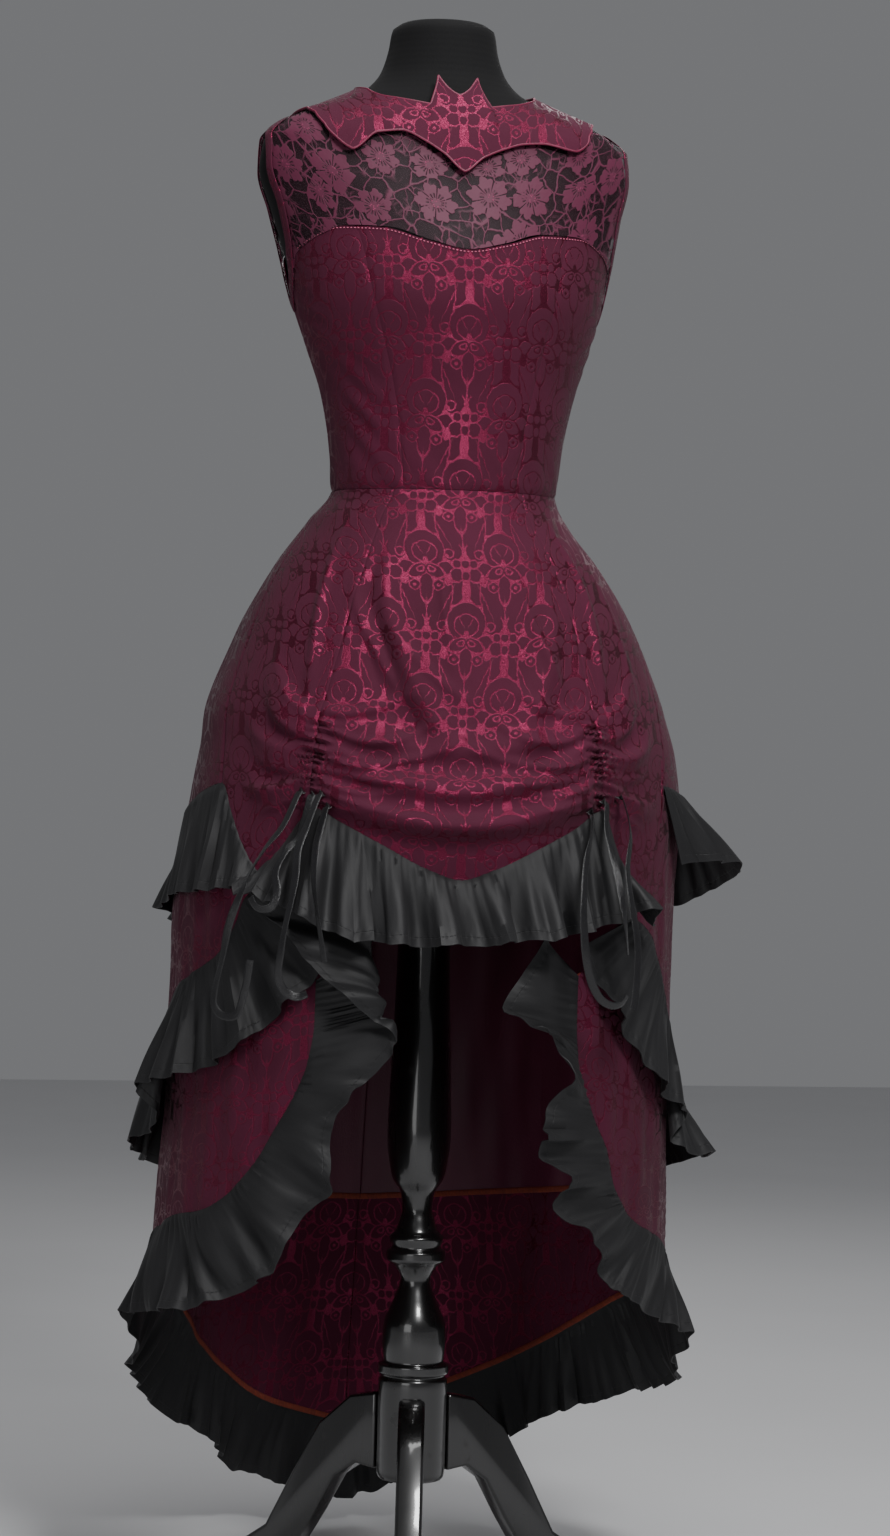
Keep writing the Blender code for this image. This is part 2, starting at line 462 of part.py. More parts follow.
def wall(name, outer, inner, finish):
    """A cloth wall between two grids of points, closed round its edge."""
    rows = len(outer)
    columns = len(outer[0])
    shape = bmesh.new()
    front = [[shape.verts.new(point) for point in line] for line in outer]
    rear = [[shape.verts.new(point) for point in line] for line in inner]
    for row in range(rows - 1):
        for column in range(columns - 1):
            for grid, order in ((front, 1), (rear, -1)):
                corners = (grid[row][column], grid[row][column + 1],
                           grid[row + 1][column + 1], grid[row + 1][column])
                shape.faces.new(corners[::order])
    rim = [(0, column) for column in range(columns)] + [(row, columns - 1) for row in range(1, rows)]
    rim += [(rows - 1, column) for column in range(columns - 2, -1, -1)]
    rim += [(row, 0) for row in range(rows - 2, 0, -1)]
    for here, there in zip(rim, rim[1:] + rim[:1]):
        shape.faces.new((front[there[0]][there[1]], front[here[0]][here[1]],
                         rear[here[0]][here[1]], rear[there[0]][there[1]]))
    return triangulated(name, shape, finish)


def panel(name, bottom, top, shares, place, thickness, finish):
    """A panel between two lines of angle and height with the same number of points."""
    backwards = bottom[0][0] > bottom[-1][0]
    grids = []
    for inset in (0.0, thickness):
        grid = []
        for t in shares:
            grid.append([place(low[0] + (high[0] - low[0]) * t, low[1] + (high[1] - low[1]) * t, -inset)
                         for low, high in zip(bottom, top)])
        trim_ends(grid)
        grids.append(grid)
    outer, inner = grids
    if backwards:
        wall(name, [line[::-1] for line in outer], [line[::-1] for line in inner], finish)
    else:
        wall(name, outer, inner, finish)
    return outer


def trim_ends(points):
    """Draws both upright edges in by half a seam gap."""
    for line in points:
        line[0] = line[0] + level_direction(line[0], line[1]) * SEAM_HALF_GAP
        line[-1] = line[-1] + level_direction(line[-1], line[-2]) * SEAM_HALF_GAP


def level_direction(start, end):
    return Vector((end.x - start.x, end.y - start.y, 0.0)).normalized()


def along(line, place):
    index = min(int(place), len(line) - 2)
    return line[index].lerp(line[index + 1], place - index)


def wave_stations(rows, seam, drop, low, high):
    """Adds uneven flutes from the last row of a ruffle's table to the centre back."""
    result = list(rows)
    place = rows[-1][0]
    count = len(rows)
    while place < 11.3:
        count += 1
        place += 0.62 + 0.10 * math.sin(count * 2.3)
        angle, height = spread_at(seam, place)
        side = 1.0 if angle > 0.0 else -1.0
        crest = count % 2 == 0
        out = high + 0.006 * math.sin(count * 1.7) if crest else low
        swing = 2.0 * math.sin(count * 2.9)
        edge = (angle + side * swing, height - drop - 0.004 * math.sin(count * 1.3), out)
        result.append((place,) + edge)
    angle, height = seam[-1]
    result.append((12.0, angle, height - drop, low + 0.006))
    return result


def spread_at(rows, place):
    place = min(place, len(rows) - 1.0)
    index = min(int(place), len(rows) - 2)
    share = place - index
    return tuple(a + (b - a) * share for a, b in zip(rows[index], rows[index + 1]))


def ruffle(name, seam_points, stations, steps, rows, backwards):
    """A gathered strip from a seam to a free edge, with its flutes growing towards the edge."""
    first = stations[0][0]
    last = len(seam_points) - 1
    lines = [[] for _ in range(rows + 1)]
    for step in range(steps + 1):
        place = first + (last - first) * step / steps
        top = along(seam_points, place)
        values = smooth_table(stations, place)
        column = [strip_point(top, values, 1.0 - row / rows) for row in range(rows + 1)]
        column[rows] = top + (column[rows - 1] - top).normalized() * RUFFLE_SEAM_GAP
        for row in range(rows + 1):
            lines[row].append(column[row])
    if backwards:
        lines = [line[::-1] for line in lines]
    return sheet(name, lines, RUFFLE_THICKNESS, "ruffle")


def strip_point(top, values, t):
    """A point on the way from the seam to the free edge, bent through the middle where the table has one."""
    edge = skirt_point(*values[-3:])
    if len(values) < 7:
        return top.lerp(edge, t)
    centre = skirt_point(*values[1:4])
    return top * ((1.0 - t) * (1.0 - 2.0 * t)) + centre * (4.0 * t * (1.0 - t)) + edge * (t * (2.0 * t - 1.0))


def loft(name, rings, finish):
    """A closed solid through rings of points, listed from the top down."""
    shape = bmesh.new()
    loops = [[shape.verts.new(point) for point in ring] for ring in rings]
    count = len(loops[0])
    for upper, lower in zip(loops, loops[1:]):
        for step in range(count):
            following = (step + 1) % count
            shape.faces.new((upper[step], lower[step], lower[following], upper[following]))
    shape.faces.new(loops[0])
    shape.faces.new(loops[-1][::-1])
    bmesh.ops.recalc_face_normals(shape, faces=shape.faces[:])
    bmesh.ops.triangulate(shape, faces=shape.faces[:])
    return add_object(name, shape, finish)


def dress_form():
    rings = []
    for section in FORM_SECTIONS:
        rings.append([form_point(step * 360.0 / FORM_SIDES, section[0], 0.0) for step in range(FORM_SIDES)])
    return loft("form_torso", rings, "form")


def turned_post():
    shape = bmesh.new()
    profile = [shape.verts.new((radius, 0.0, height)) for height, radius in POST_PROFILE]
    edges = [shape.edges.new(pair) for pair in zip(profile, profile[1:])]
    bmesh.ops.spin(shape, geom=profile + edges, cent=(0.0, 0.0, 0.0), axis=(0.0, 0.0, 1.0),
                   angle=2.0 * math.pi, steps=18, use_merge=False)
    bmesh.ops.remove_doubles(shape, verts=shape.verts[:], dist=0.00005)
    rims = [edge for edge in shape.edges if edge.is_boundary]
    bmesh.ops.holes_fill(shape, edges=rims, sides=0)
    bmesh.ops.recalc_face_normals(shape, faces=shape.faces[:])
    bmesh.ops.triangulate(shape, faces=shape.faces[:])
    return add_object("stand_post", shape, "stand")


def stand_leg(number, bearing):
    """A curved flat leg, cut from board and set against the block of the post."""
    outline = LEG_UPPER + LEG_LOWER[::-1]
    shape = bmesh.new()
    half = LEG_THICKNESS / 2.0
    for side in (-half, half):
        for radius, height in outline:
            shape.verts.new((radius, side, height))
    shape.verts.ensure_lookup_table()
    count = len(outline)
    upper = len(LEG_UPPER)
    for step in range(upper - 1):
        mate = count - 1 - step
        near = (step, step + 1, mate - 1, mate)
        shape.faces.new([shape.verts[index] for index in near])
        shape.faces.new([shape.verts[index + count] for index in near[::-1]])
    for step in range(count):
        following = (step + 1) % count
        shape.faces.new([shape.verts[index] for index in (step, following, following + count, step + count)])
    bmesh.ops.recalc_face_normals(shape, faces=shape.faces[:])
    bmesh.ops.triangulate(shape, faces=shape.faces[:])
    turn = math.radians(bearing) - math.pi / 2.0
    for vertex in shape.verts:
        x, y, z = vertex.co
        vertex.co = (x * math.cos(turn) - y * math.sin(turn), x * math.sin(turn) + y * math.cos(turn), z)
    return add_object(f"stand_leg_{number}", shape, "stand")


def bust_height(angle):
    return smooth_table(BUST_SEAM, abs(angle))[1]


def bodice_point(angle, height, out):
    """The bodice's outer face, just outside the form, or a point off it."""
    return form_point(angle, height, BODICE_CLEARANCE + BROCADE_THICKNESS + out)


def bodice_panels():
    rows = [row / 7.0 for row in range(8)]
    low = spread([(-BODICE_PRINCESS_LOW, WAIST_HEIGHT), (BODICE_PRINCESS_LOW, WAIST_HEIGHT)], 7)
    turns = spread([(-BODICE_PRINCESS_TOP,), (BODICE_PRINCESS_TOP,)], 7)
    high = [(angle, bust_height(angle)) for angle, in turns]
    panel("bodice_front", low, high, rows, bodice_point, BROCADE_THICKNESS, "brocade")
    for name, side in SIDES:
        seam = side * 88.0
        low = spread([(side * BODICE_PRINCESS_LOW, WAIST_HEIGHT), (seam, WAIST_HEIGHT)], 6)
        turns = spread([(side * BODICE_PRINCESS_TOP,), (side * 90.0,)], 6)
        high = [(angle, bust_height(angle)) for angle, in turns]
        panel(f"bodice_side_front_{name}", low, high, rows, bodice_point, BROCADE_THICKNESS, "brocade")
        low = spread([(seam, WAIST_HEIGHT), (side * CENTRE_BACK_ANGLE, WAIST_HEIGHT)], 8)
        turns = spread([(side * 90.0,), (side * CENTRE_BACK_ANGLE,)], 8)
        high = [(angle, bust_height(angle)) for angle, in turns]
        panel(f"bodice_back_{name}", low, high, rows, bodice_point, BROCADE_THICKNESS, "brocade")


def neck_height(angle):
    return smooth_table(NECKLINE, abs(angle))[1]


def yoke_panels():
    """The lace yoke, one piece in front and two behind, from the bust seam to neck and shoulder."""
    middle = [angle for angle, in spread([(-BODICE_PRINCESS_TOP,), (BODICE_PRINCESS_TOP,)], 7)]
    side = [angle for angle, in spread([(BODICE_PRINCESS_TOP,), (90.0,)], 6)][1:-1]
    yoke("yoke_front", [-angle for angle in side[::-1]] + middle + side, 1, 0.0)
    for name, side in SIDES:
        turns = [angle for angle, in spread([(90.0,), (CENTRE_BACK_ANGLE,)], 8)][1:]
        turns = [angle * side for angle in turns]
        yoke(f"yoke_back_{name}", turns[::int(side)], 2, side * CENTRE_BACK_ANGLE)


def yoke(name, turns, column, pivot):
    """A lace panel above the given angles of the bust seam, drawn in to the armhole's edge."""
    bottom_edge = max(turns, key=lambda angle: abs(angle - pivot))
    grids = []
    for inset in (0.0, LACE_THICKNESS):
        grid = []
        for share in YOKE_ROWS:
            low = bust_height(bottom_edge)
            limit = smooth_table(ARMHOLE_EDGE, low + (neck_height(90.0) - low) * share)[column]
            narrowing = (limit - abs(pivot)) / (abs(bottom_edge) - abs(pivot))
            line = []
            for angle in turns:
                turn = pivot + (angle - pivot) * narrowing
                low = bust_height(angle) + SEAM_RISE
                line.append(form_point(turn, low + (neck_height(turn) - low) * share,
                                       YOKE_CLEARANCE + LACE_THICKNESS - inset))
            grid.append(line)
        trim_ends(grid)
        grids.append(grid)
    return wall(name, grids[0], grids[1], "lace")


def armhole_bindings():
    """A brocade band laid round each armhole."""
    steps = 26
    centre_height = 1.56
    radius = 0.19
    for name, side in SIDES:
        loop = ARMHOLE_LOOP + ARMHOLE_LOOP[:1]
        shape = bmesh.new()
        grid = []
        for step in range(steps):
            angle, height = spread_at(loop, (len(loop) - 1) * step / steps)
            across = math.radians(angle - 90.0) * radius
            rise = height - centre_height
            reach = math.hypot(across, rise)
            wide = (reach + BINDING_WIDTH) / reach
            outer_angle = 90.0 + (angle - 90.0) * wide
            outer_height = min(centre_height + rise * wide, BINDING_TOP)
            inside = YOKE_CLEARANCE + LACE_THICKNESS + BINDING_LIFT
            outside = inside + BINDING_THICKNESS
            corners = ((angle, height, outside), (outer_angle, outer_height, outside),
                       (outer_angle, outer_height, inside), (angle, height, inside))
            grid.append([shape.verts.new(form_point(side * a, h, out)) for a, h, out in corners])
        for step in range(steps):
            here = grid[step]
            there = grid[(step + 1) % steps]
            for corner in range(4):
                beyond = (corner + 1) % 4
                shape.faces.new((here[corner], here[beyond], there[beyond], there[corner]))
        bmesh.ops.recalc_face_normals(shape, faces=shape.faces[:])
        bmesh.ops.triangulate(shape, faces=shape.faces[:])
        add_object(f"armhole_binding_{name}", shape, "brocade")


def collar():
    """The stand-away collar with its pointed and scalloped lower edge and two upright points in front."""
    rows = 3
    outline = spread(COLLAR_OUTLINE, (len(COLLAR_OUTLINE) - 1) * 2)
    lines = []
    for row in range(rows + 1):
        t = row / rows
        line = []
        for place in outline:
            line.append(form_point(*[low + (high - low) * t for low, high in zip(place[:3], place[3:])]))
        lines.append(line)
    sheet("collar", lines, COLLAR_THICKNESS, "brocade")


def skirt_panels():
    """The gathered front, the side panels, the tiers behind and the lining; returns the ruffle seams."""
    seams = {}
    waist = WAIST_HEIGHT - 2.0 * SEAM_HALF_GAP - 0.0003
    hem = [(angle, smooth_table(APRON_HEM, angle)[1])
           for angle, in spread([(-PRINCESS_ANGLE,), (PRINCESS_ANGLE,)], APRON_COLUMNS)]
    top = spread([(-PRINCESS_ANGLE, waist), (PRINCESS_ANGLE, waist)], APRON_COLUMNS)
    front = panel("skirt_front", hem, top, APRON_ROWS, apron_point, BROCADE_THICKNESS, "brocade")
    sides = {}
    for name, side in SIDES:
        low = SIDE_HEM[name]
        high = spread([(side * PRINCESS_ANGLE, waist), (side * SIDE_ANGLE_AT_WAIST, waist)], len(low) - 1)
        sides[name] = panel(f"skirt_side_front_{name}", low, high, APRON_ROWS, apron_point,
                            BROCADE_THICKNESS, "brocade")
        low = TIER_ONE_BACK[name]
        high = spread([(side * SIDE_ANGLE_AT_WAIST, waist), (side * CENTRE_BACK_ANGLE, waist)], len(low) - 1)
        back = panel(f"skirt_back_{name}", low, high, APRON_ROWS, skirt_point, BROCADE_THICKNESS, "brocade")
        first = sides[name][0][4:-1] + back[0]
        tier_line = SIDE_HEM[name][4:-1] + TIER_ONE_BACK[name]
        seams["one", name] = first
        second = tier_panel(f"tier_two_panel_{name}", first, tier_line, TIER_TWO_SEAM[name], 3, TIER_STEP)
        seams["two", name] = second
        third = tier_panel(f"tier_three_panel_{name}", second, TIER_TWO_SEAM[name], TIER_THREE_SEAM[name],
                           5, 2.0 * TIER_STEP)
        seams["three", name] = third
        lining(name, side, back[LINING_HUNG_ROW], low, high)
    seams["apron"] = sides["right"][0][4::-1] + front[0][1:-1] + sides["left"][0][:5]
    return seams


def tier_panel(name, upper, upper_line, lower_line, rows, inset):
    """A tier that hangs from just behind the edge above it; returns its lower edge."""
    grids = []
    for depth in (0.0, BROCADE_THICKNESS):
        lines = []
        for row in range(rows):
            t = row / rows
            lines.append([skirt_point(low[0] + (high[0] - low[0]) * t, low[1] + (high[1] - low[1]) * t,
                                      -inset - depth) for low, high in zip(lower_line, upper_line)])
        lines.append([moved_in(point, TIER_STEP + depth) for point in upper])
        trim_ends(lines)
        grids.append(lines)
    hung_wall(name, grids, lower_line[0][0] < 0.0, "brocade")
    return grids[0][0]


def hung_wall(name, grids, backwards, finish):
    if backwards:
        grids = [[line[::-1] for line in lines] for lines in grids]
    return wall(name, grids[0], grids[1], finish)


def moved_in(point, distance):
    inward = Vector((-point.x, -point.y, 0.0)).normalized()
    return point + inward * distance + Vector((0.0, 0.0, -TIER_DROP))


def lining(name, side, hung, low, high):
    """The plain lining of the sides and back, hung inside the back panels and open in front."""
    share = APRON_ROWS[LINING_HUNG_ROW]
    tops = [(foot[0] + (head[0] - foot[0]) * share, foot[1] + (head[1] - foot[1]) * share)
            for foot, head in zip(low, high)]
    grids = []
    for depth in (0.0, BROCADE_THICKNESS):
        lines = []
        for row in range(LINING_ROWS):
            t = row / LINING_ROWS
            lines.append([skirt_point(foot[0] + (head[0] - foot[0]) * t, foot[1] + (head[1] - foot[1]) * t,
                                      -LINING_INSET - depth) for foot, head in zip(LINING_HEM[name], tops)])
        lines.append([moved_in(point, LINING_TOP_INSET + depth) for point in hung])
        trim_ends(lines)
        grids.append(lines)
    hung_wall(f"lining_{name}", grids, side < 0.0, "lining")


def ruffles(seams):
    ruffle("apron_ruffle", seams["apron"], APRON_RUFFLE, 56, 2, False)
    for name, side in SIDES:
        backwards = side < 0.0
        stations = wave_stations(TIER_ONE_RUFFLE[name], tier_one_line(name), RUFFLE_DROP, 0.014, 0.040)
        steps = round((12.0 - stations[0][0]) * 3.0)
        ruffle(f"tier_one_ruffle_{name}", seams["one", name], stations, steps, 2, backwards)
        stations = wave_stations(TIER_TWO_RUFFLE[name], TIER_TWO_SEAM[name], RUFFLE_DROP, 0.014, 0.042)
        ruffle(f"tier_two_ruffle_{name}", seams["two", name], stations, 36, 2, backwards)
        rows = TIER_THREE_RUFFLE[name]
        tail = wave_stations([row[:1] + row[4:] for row in rows[-1:]], TIER_THREE_SEAM[name],
                             RUFFLE_DROP, 0.010, 0.036)
        stations = list(rows)
        for place, angle, height, out in tail[1:]:
            seam_angle, seam_height = spread_at(TIER_THREE_SEAM[name], place)
            stations.append((place, (angle + seam_angle) / 2.0, (height + seam_height) / 2.0, out * 0.4,
                             angle, height, out))
        ruffle(f"tier_three_ruffle_{name}", seams["three", name], stations, 48, 3, backwards)


def tier_one_line(name):
    return SIDE_HEM[name][4:-1] + TIER_ONE_BACK[name]


def ribbon_start(cloth, angle, height):
    """Where a ribbon comes out of the cloth, and a point straight out from there."""
    outside = skirt_point(angle, height, RIBBON_REACH)
    inward = (skirt_point(angle, height, 0.0) - outside).normalized()
    for panel_tree in cloth:
        place, normal, _, _ = panel_tree.ray_cast(outside, inward, RIBBON_REACH * 1.5)
        if place is not None:
            return place + normal * RIBBON_GAP, place + normal * RIBBON_LEAD
    raise ValueError("no cloth at the ribbon's start")


def ribbons():
    bpy.context.view_layer.update()
    view = bpy.context.evaluated_depsgraph_get()
    names = ("skirt_front", "skirt_side_front_right", "skirt_side_front_left")
    cloth = [BVHTree.FromObject(bpy.data.objects[name], view) for name in names]
    for name, route in RIBBONS.items():
        start, lead = ribbon_start(cloth, *route[0][:2])
        points = [lead] + [skirt_point(*row) for row in route[1:]]
        smooth = [start] + smooth_route(points, RIBBON_STEP)
        curve = bpy.data.curves.new(name, "CURVE")
        curve.dimensions = "3D"
        curve.bevel_depth = RIBBON_RADIUS
        curve.bevel_resolution = 2
        curve.use_fill_caps = True
        spline = curve.splines.new("POLY")
        spline.points.add(len(smooth) - 1)
        for spot, place in zip(spline.points, smooth):
            spot.co = (*place, 1.0)
        curve.materials.append(material(name, "ribbon"))
        item = bpy.data.objects.new(name, curve)
        bpy.context.scene.collection.objects.link(item)


def smooth_route(points, step):
    """Reads even points from a smooth curve through the route's own points."""
    fine = []
    for index in range(len(points) - 1):
        before = points[max(index - 1, 0)]
        start = points[index]
        end = points[index + 1]
        after = points[min(index + 2, len(points) - 1)]
        for share in range(8):
            t = share / 8.0
            fine.append(0.5 * (2.0 * start + (end - before) * t
                               + (2.0 * before - 5.0 * start + 4.0 * end - after) * t * t
                               + (3.0 * start - before - 3.0 * end + after) * t * t * t))
    fine.append(points[-1])
    result = [fine[0]]
    travelled = 0.0
    for before, point in zip(fine, fine[1:]):
        travelled += (point - before).length
        if travelled >= step:
            result.append(point)
            travelled = 0.0
    if (result[-1] - fine[-1]).length < step / 2.0:
        result.pop()
    result.append(fine[-1])
    return result


def centre_on_origin():
    """Sets the whole part's middle over the origin."""
    view = bpy.context.evaluated_depsgraph_get()
    places = []
    for item in bpy.data.objects:
        if item.type == "MESH":
            places += [vertex.co.copy() for vertex in item.evaluated_get(view).data.vertices]
    low = [min(place[axis] for place in places) for axis in range(2)]
    high = [max(place[axis] for place in places) for axis in range(2)]
    for item in bpy.data.objects:
        item.location.x -= (low[0] + high[0]) / 2.0
        item.location.y -= (low[1] + high[1]) / 2.0


def main():
    clear_scene()
    dress_form()
    turned_post()
    for number, bearing in enumerate(LEG_BEARINGS, start=1):
        stand_leg(number, bearing)
    bodice_panels()
    yoke_panels()
    armhole_bindings()
    collar()
    ruffles(skirt_panels())
    ribbons()
    bpy.context.view_layer.update()
    centre_on_origin()


main()
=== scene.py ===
import math

import bpy
import numpy as np
from mathutils import Matrix, Vector, noise


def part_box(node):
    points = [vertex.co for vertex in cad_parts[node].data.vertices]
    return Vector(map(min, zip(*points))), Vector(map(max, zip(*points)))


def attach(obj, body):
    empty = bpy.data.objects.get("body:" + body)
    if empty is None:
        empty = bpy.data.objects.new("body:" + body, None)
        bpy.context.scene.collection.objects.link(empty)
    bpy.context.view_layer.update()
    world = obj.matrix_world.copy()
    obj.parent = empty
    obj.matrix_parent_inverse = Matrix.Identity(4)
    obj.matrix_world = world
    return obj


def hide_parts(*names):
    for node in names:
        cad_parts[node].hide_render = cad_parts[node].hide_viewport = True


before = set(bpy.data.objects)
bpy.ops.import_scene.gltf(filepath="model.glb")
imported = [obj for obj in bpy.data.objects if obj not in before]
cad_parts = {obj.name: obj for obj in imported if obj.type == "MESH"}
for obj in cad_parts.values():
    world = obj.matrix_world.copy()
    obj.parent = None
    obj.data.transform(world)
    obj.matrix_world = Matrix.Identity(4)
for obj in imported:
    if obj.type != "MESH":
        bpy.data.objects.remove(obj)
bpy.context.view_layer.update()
print("frame loaded")

# The dress is drawn round the stand's axis; angles run from the front, positive towards the wearer's left.
postLow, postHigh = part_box("stand_post")
axis = np.array([(postLow.x + postHigh.x) / 2, (postLow.y + postHigh.y) / 2, 0.0])

cameraView = {
    "azimuth": -12.0, "distance": 4.5, "height": 0.934, "sideways": 0.0185, "roll": 1.5, "lens": 92.8,
}


def makeCamera(view):
    turn = math.radians(view["azimuth"])
    right = Vector((math.cos(turn), math.sin(turn), 0.0))
    ahead = Vector((-math.sin(turn), math.cos(turn), 0.0))
    place = Vector(axis) + right * view["sideways"] - ahead * view["distance"]
    place.z = view["height"]
    bpy.ops.object.camera_add(location=place)
    camera = bpy.context.object
    camera.name = "photoCamera"
    camera.data.lens = view["lens"]
    aim = Matrix.Rotation(turn, 4, "Z") @ Matrix.Rotation(math.pi / 2, 4, "X")
    camera.rotation_euler = (aim @ Matrix.Rotation(math.radians(view["roll"]), 4, "Z")).to_euler()
    camera.data.clip_end = 60.0
    bpy.context.scene.camera = camera


makeCamera(cameraView)
print("camera placed")

formSections = [
    (1.775, 0.05, 0.048, 0.05, -0.005), (1.769, 0.058, 0.056, 0.058, -0.005),
    (1.745, 0.0625, 0.058, 0.06, -0.005), (1.72, 0.071, 0.061, 0.066, -0.0045),
    (1.7, 0.088, 0.067, 0.079, -0.004), (1.684, 0.12, 0.073, 0.087, -0.003),
    (1.67, 0.157, 0.079, 0.092, -0.0015), (1.655, 0.187, 0.085, 0.096, -0.001),
    (1.638, 0.206, 0.091, 0.099, -0.001), (1.605, 0.211, 0.1, 0.103, -0.001),
    (1.56, 0.199, 0.11, 0.105, 0.001), (1.51, 0.185, 0.12, 0.105, 0.004),
    (1.462, 0.175, 0.123, 0.104, 0.006), (1.41, 0.159, 0.114, 0.101, 0.0085),
    (1.35, 0.14, 0.103, 0.096, 0.01), (1.29, 0.129, 0.098, 0.092, 0.0095),
    (1.235, 0.125, 0.097, 0.092, 0.0085), (1.16, 0.144, 0.11, 0.114, 0.004),
    (1.05, 0.164, 0.125, 0.134, 0.007), (0.975, 0.156, 0.116, 0.124, 0.008),
    (0.945, 0.11, 0.085, 0.09, 0.008),
]
skirtSections = [
    (1.244, 0.129, 0.101, 0.096, 0.0085, 0), (1.21, 0.149, 0.116, 0.128, 0.004, 0),
    (1.164, 0.184, 0.138, 0.18, 0.006, 0), (1.109, 0.2165, 0.158, 0.242, 0.0085, -1),
    (1.059, 0.238, 0.174, 0.282, 0.01, -2), (1, 0.26, 0.19, 0.305, 0.01, -3),
    (0.953, 0.27, 0.2, 0.315, 0.0135, -4), (0.9, 0.278, 0.209, 0.32, 0.0125, -4),
    (0.8, 0.286, 0.215, 0.325, 0.003, -2), (0.74, 0.287, 0.217, 0.327, 0, 0),
    (0.6, 0.288, 0.22, 0.332, 0, 0), (0.4, 0.295, 0.225, 0.345, -0.004, 0),
    (0.17, 0.3, 0.23, 0.365, -0.008, 0), (0.02, 0.305, 0.232, 0.375, -0.008, 0),
]
apronHem = [
    (-35, 0.89), (-26, 0.872), (-16.5, 0.849), (-7, 0.824), (0, 0.813), (7, 0.824), (17, 0.848), (26, 0.87),
    (35, 0.892),
]
sideHem = {
    "right": [
        (-35, 0.89), (-38, 0.868), (-41.5, 0.845), (-44.5, 0.828), (-47.5, 0.815), (-54, 0.845),
        (-60, 0.88), (-66.5, 0.911),
    ],
    "left": [
        (35, 0.892), (38, 0.86), (41.5, 0.83), (44.5, 0.803), (47.5, 0.785), (52.5, 0.812), (58, 0.862),
        (62, 0.92),
    ],
}
tierOneBack = {
    "right": [
        (-66.5, 0.911), (-78, 0.902), (-90, 0.89), (-102, 0.877), (-115, 0.862), (-128, 0.845),
        (-141, 0.83), (-154, 0.815), (-167, 0.805), (-179.9, 0.8),
    ],
    "left": [
        (62, 0.92), (76, 0.913), (89, 0.9), (102, 0.885), (115, 0.868), (128, 0.85), (141, 0.833),
        (154, 0.818), (167, 0.806), (179.9, 0.8),
    ],
}
tierTwoSeam = {
    "right": [
        (-48.5, 0.8), (-52.5, 0.785), (-56.5, 0.757), (-61, 0.728), (-71, 0.705), (-84.5, 0.684),
        (-96, 0.655), (-108, 0.625), (-122, 0.592), (-136, 0.56), (-150, 0.532), (-165, 0.51),
        (-179.9, 0.5),
    ],
    "left": [
        (47.5, 0.773), (53, 0.76), (59, 0.735), (64, 0.7), (68, 0.665), (78, 0.606), (92, 0.582),
        (106, 0.562), (120, 0.545), (134, 0.53), (149, 0.515), (164, 0.505), (179.9, 0.5),
    ],
}
tierThreeSeam = {
    "right": [
        (-33.5, 0.7), (-33.5, 0.655), (-35, 0.61), (-38.5, 0.572), (-44.5, 0.522), (-52, 0.475),
        (-63, 0.443), (-79.5, 0.429), (-100, 0.395), (-120, 0.32), (-140, 0.232), (-160, 0.16),
        (-179.9, 0.13),
    ],
    "left": [
        (28.5, 0.71), (28.5, 0.66), (29.5, 0.61), (33, 0.565), (38, 0.52), (42, 0.47), (50, 0.435),
        (66, 0.41), (88, 0.367), (110, 0.315), (133, 0.243), (156, 0.182), (179.9, 0.13),
    ],
}
liningHem = {
    "right": [
        (-56, 0.462), (-66, 0.452), (-79, 0.444), (-93, 0.437), (-107, 0.43), (-121, 0.424), (-135, 0.418),
        (-150, 0.413), (-165, 0.41), (-179.9, 0.408),
    ],
    "left": [
        (52, 0.478), (63, 0.47), (77, 0.462), (91, 0.454), (106, 0.445), (121, 0.436), (135, 0.427),
        (150, 0.418), (165, 0.411), (179.9, 0.408),
    ],
}
apronFolds = [
    (-36, 0.992, 34, 0.995, 0.04, 0.013, 0.008), (-36, 0.962, 35, 0.968, 0.055, 0.014, 0.014),
    (-36, 0.93, 35, 0.936, 0.058, 0.013, 0.015), (-36, 0.905, 35, 0.91, 0.04, 0.012, 0.01),
    (-31, 1.12, -6, 0.95, 0.012, 0.014, -0.009), (-27, 1.135, -1, 0.965, 0.012, 0.015, 0.008),
    (28, 1.09, 12, 0.965, 0.01, 0.014, 0.006), (-37, 0.975, -60, 1.05, 0.012, 0.014, 0.009),
    (-37, 0.945, -62, 0.985, 0.016, 0.013, 0.01), (-37, 0.915, -58, 0.925, 0.018, 0.012, 0.009),
    (37, 0.978, 58, 1.045, 0.012, 0.014, 0.008), (37, 0.948, 60, 0.985, 0.016, 0.013, 0.01),
    (37, 0.918, 58, 0.9, 0.016, 0.012, 0.009),
]
apronRuffle = [
    (0, -48.8, 0.799, 0.034), (1, -46.5, 0.796, 0.052), (2, -43, 0.792, 0.042), (3, -39, 0.786, 0.055),
    (4, -35, 0.779, 0.044), (5.2, -31, 0.768, 0.058), (6.4, -26.5, 0.755, 0.04), (7.4, -22, 0.747, 0.052),
    (8.3, -19.5, 0.746, 0.026), (9.6, -15.5, 0.744, 0.05), (11, -10.5, 0.742, 0.03),
    (12.5, -5, 0.743, 0.05), (14, 0.5, 0.744, 0.034), (15.5, 6, 0.747, 0.054), (17, 11, 0.75, 0.032),
    (18.5, 16, 0.752, 0.052), (20, 20.5, 0.756, 0.03), (21.2, 24.5, 0.76, 0.05), (22.4, 28.5, 0.765, 0.03),
    (23.6, 33, 0.773, 0.052), (24.8, 37.5, 0.781, 0.034), (26, 42, 0.784, 0.052), (27, 45, 0.776, 0.036),
    (28, 48, 0.768, 0.024),
]
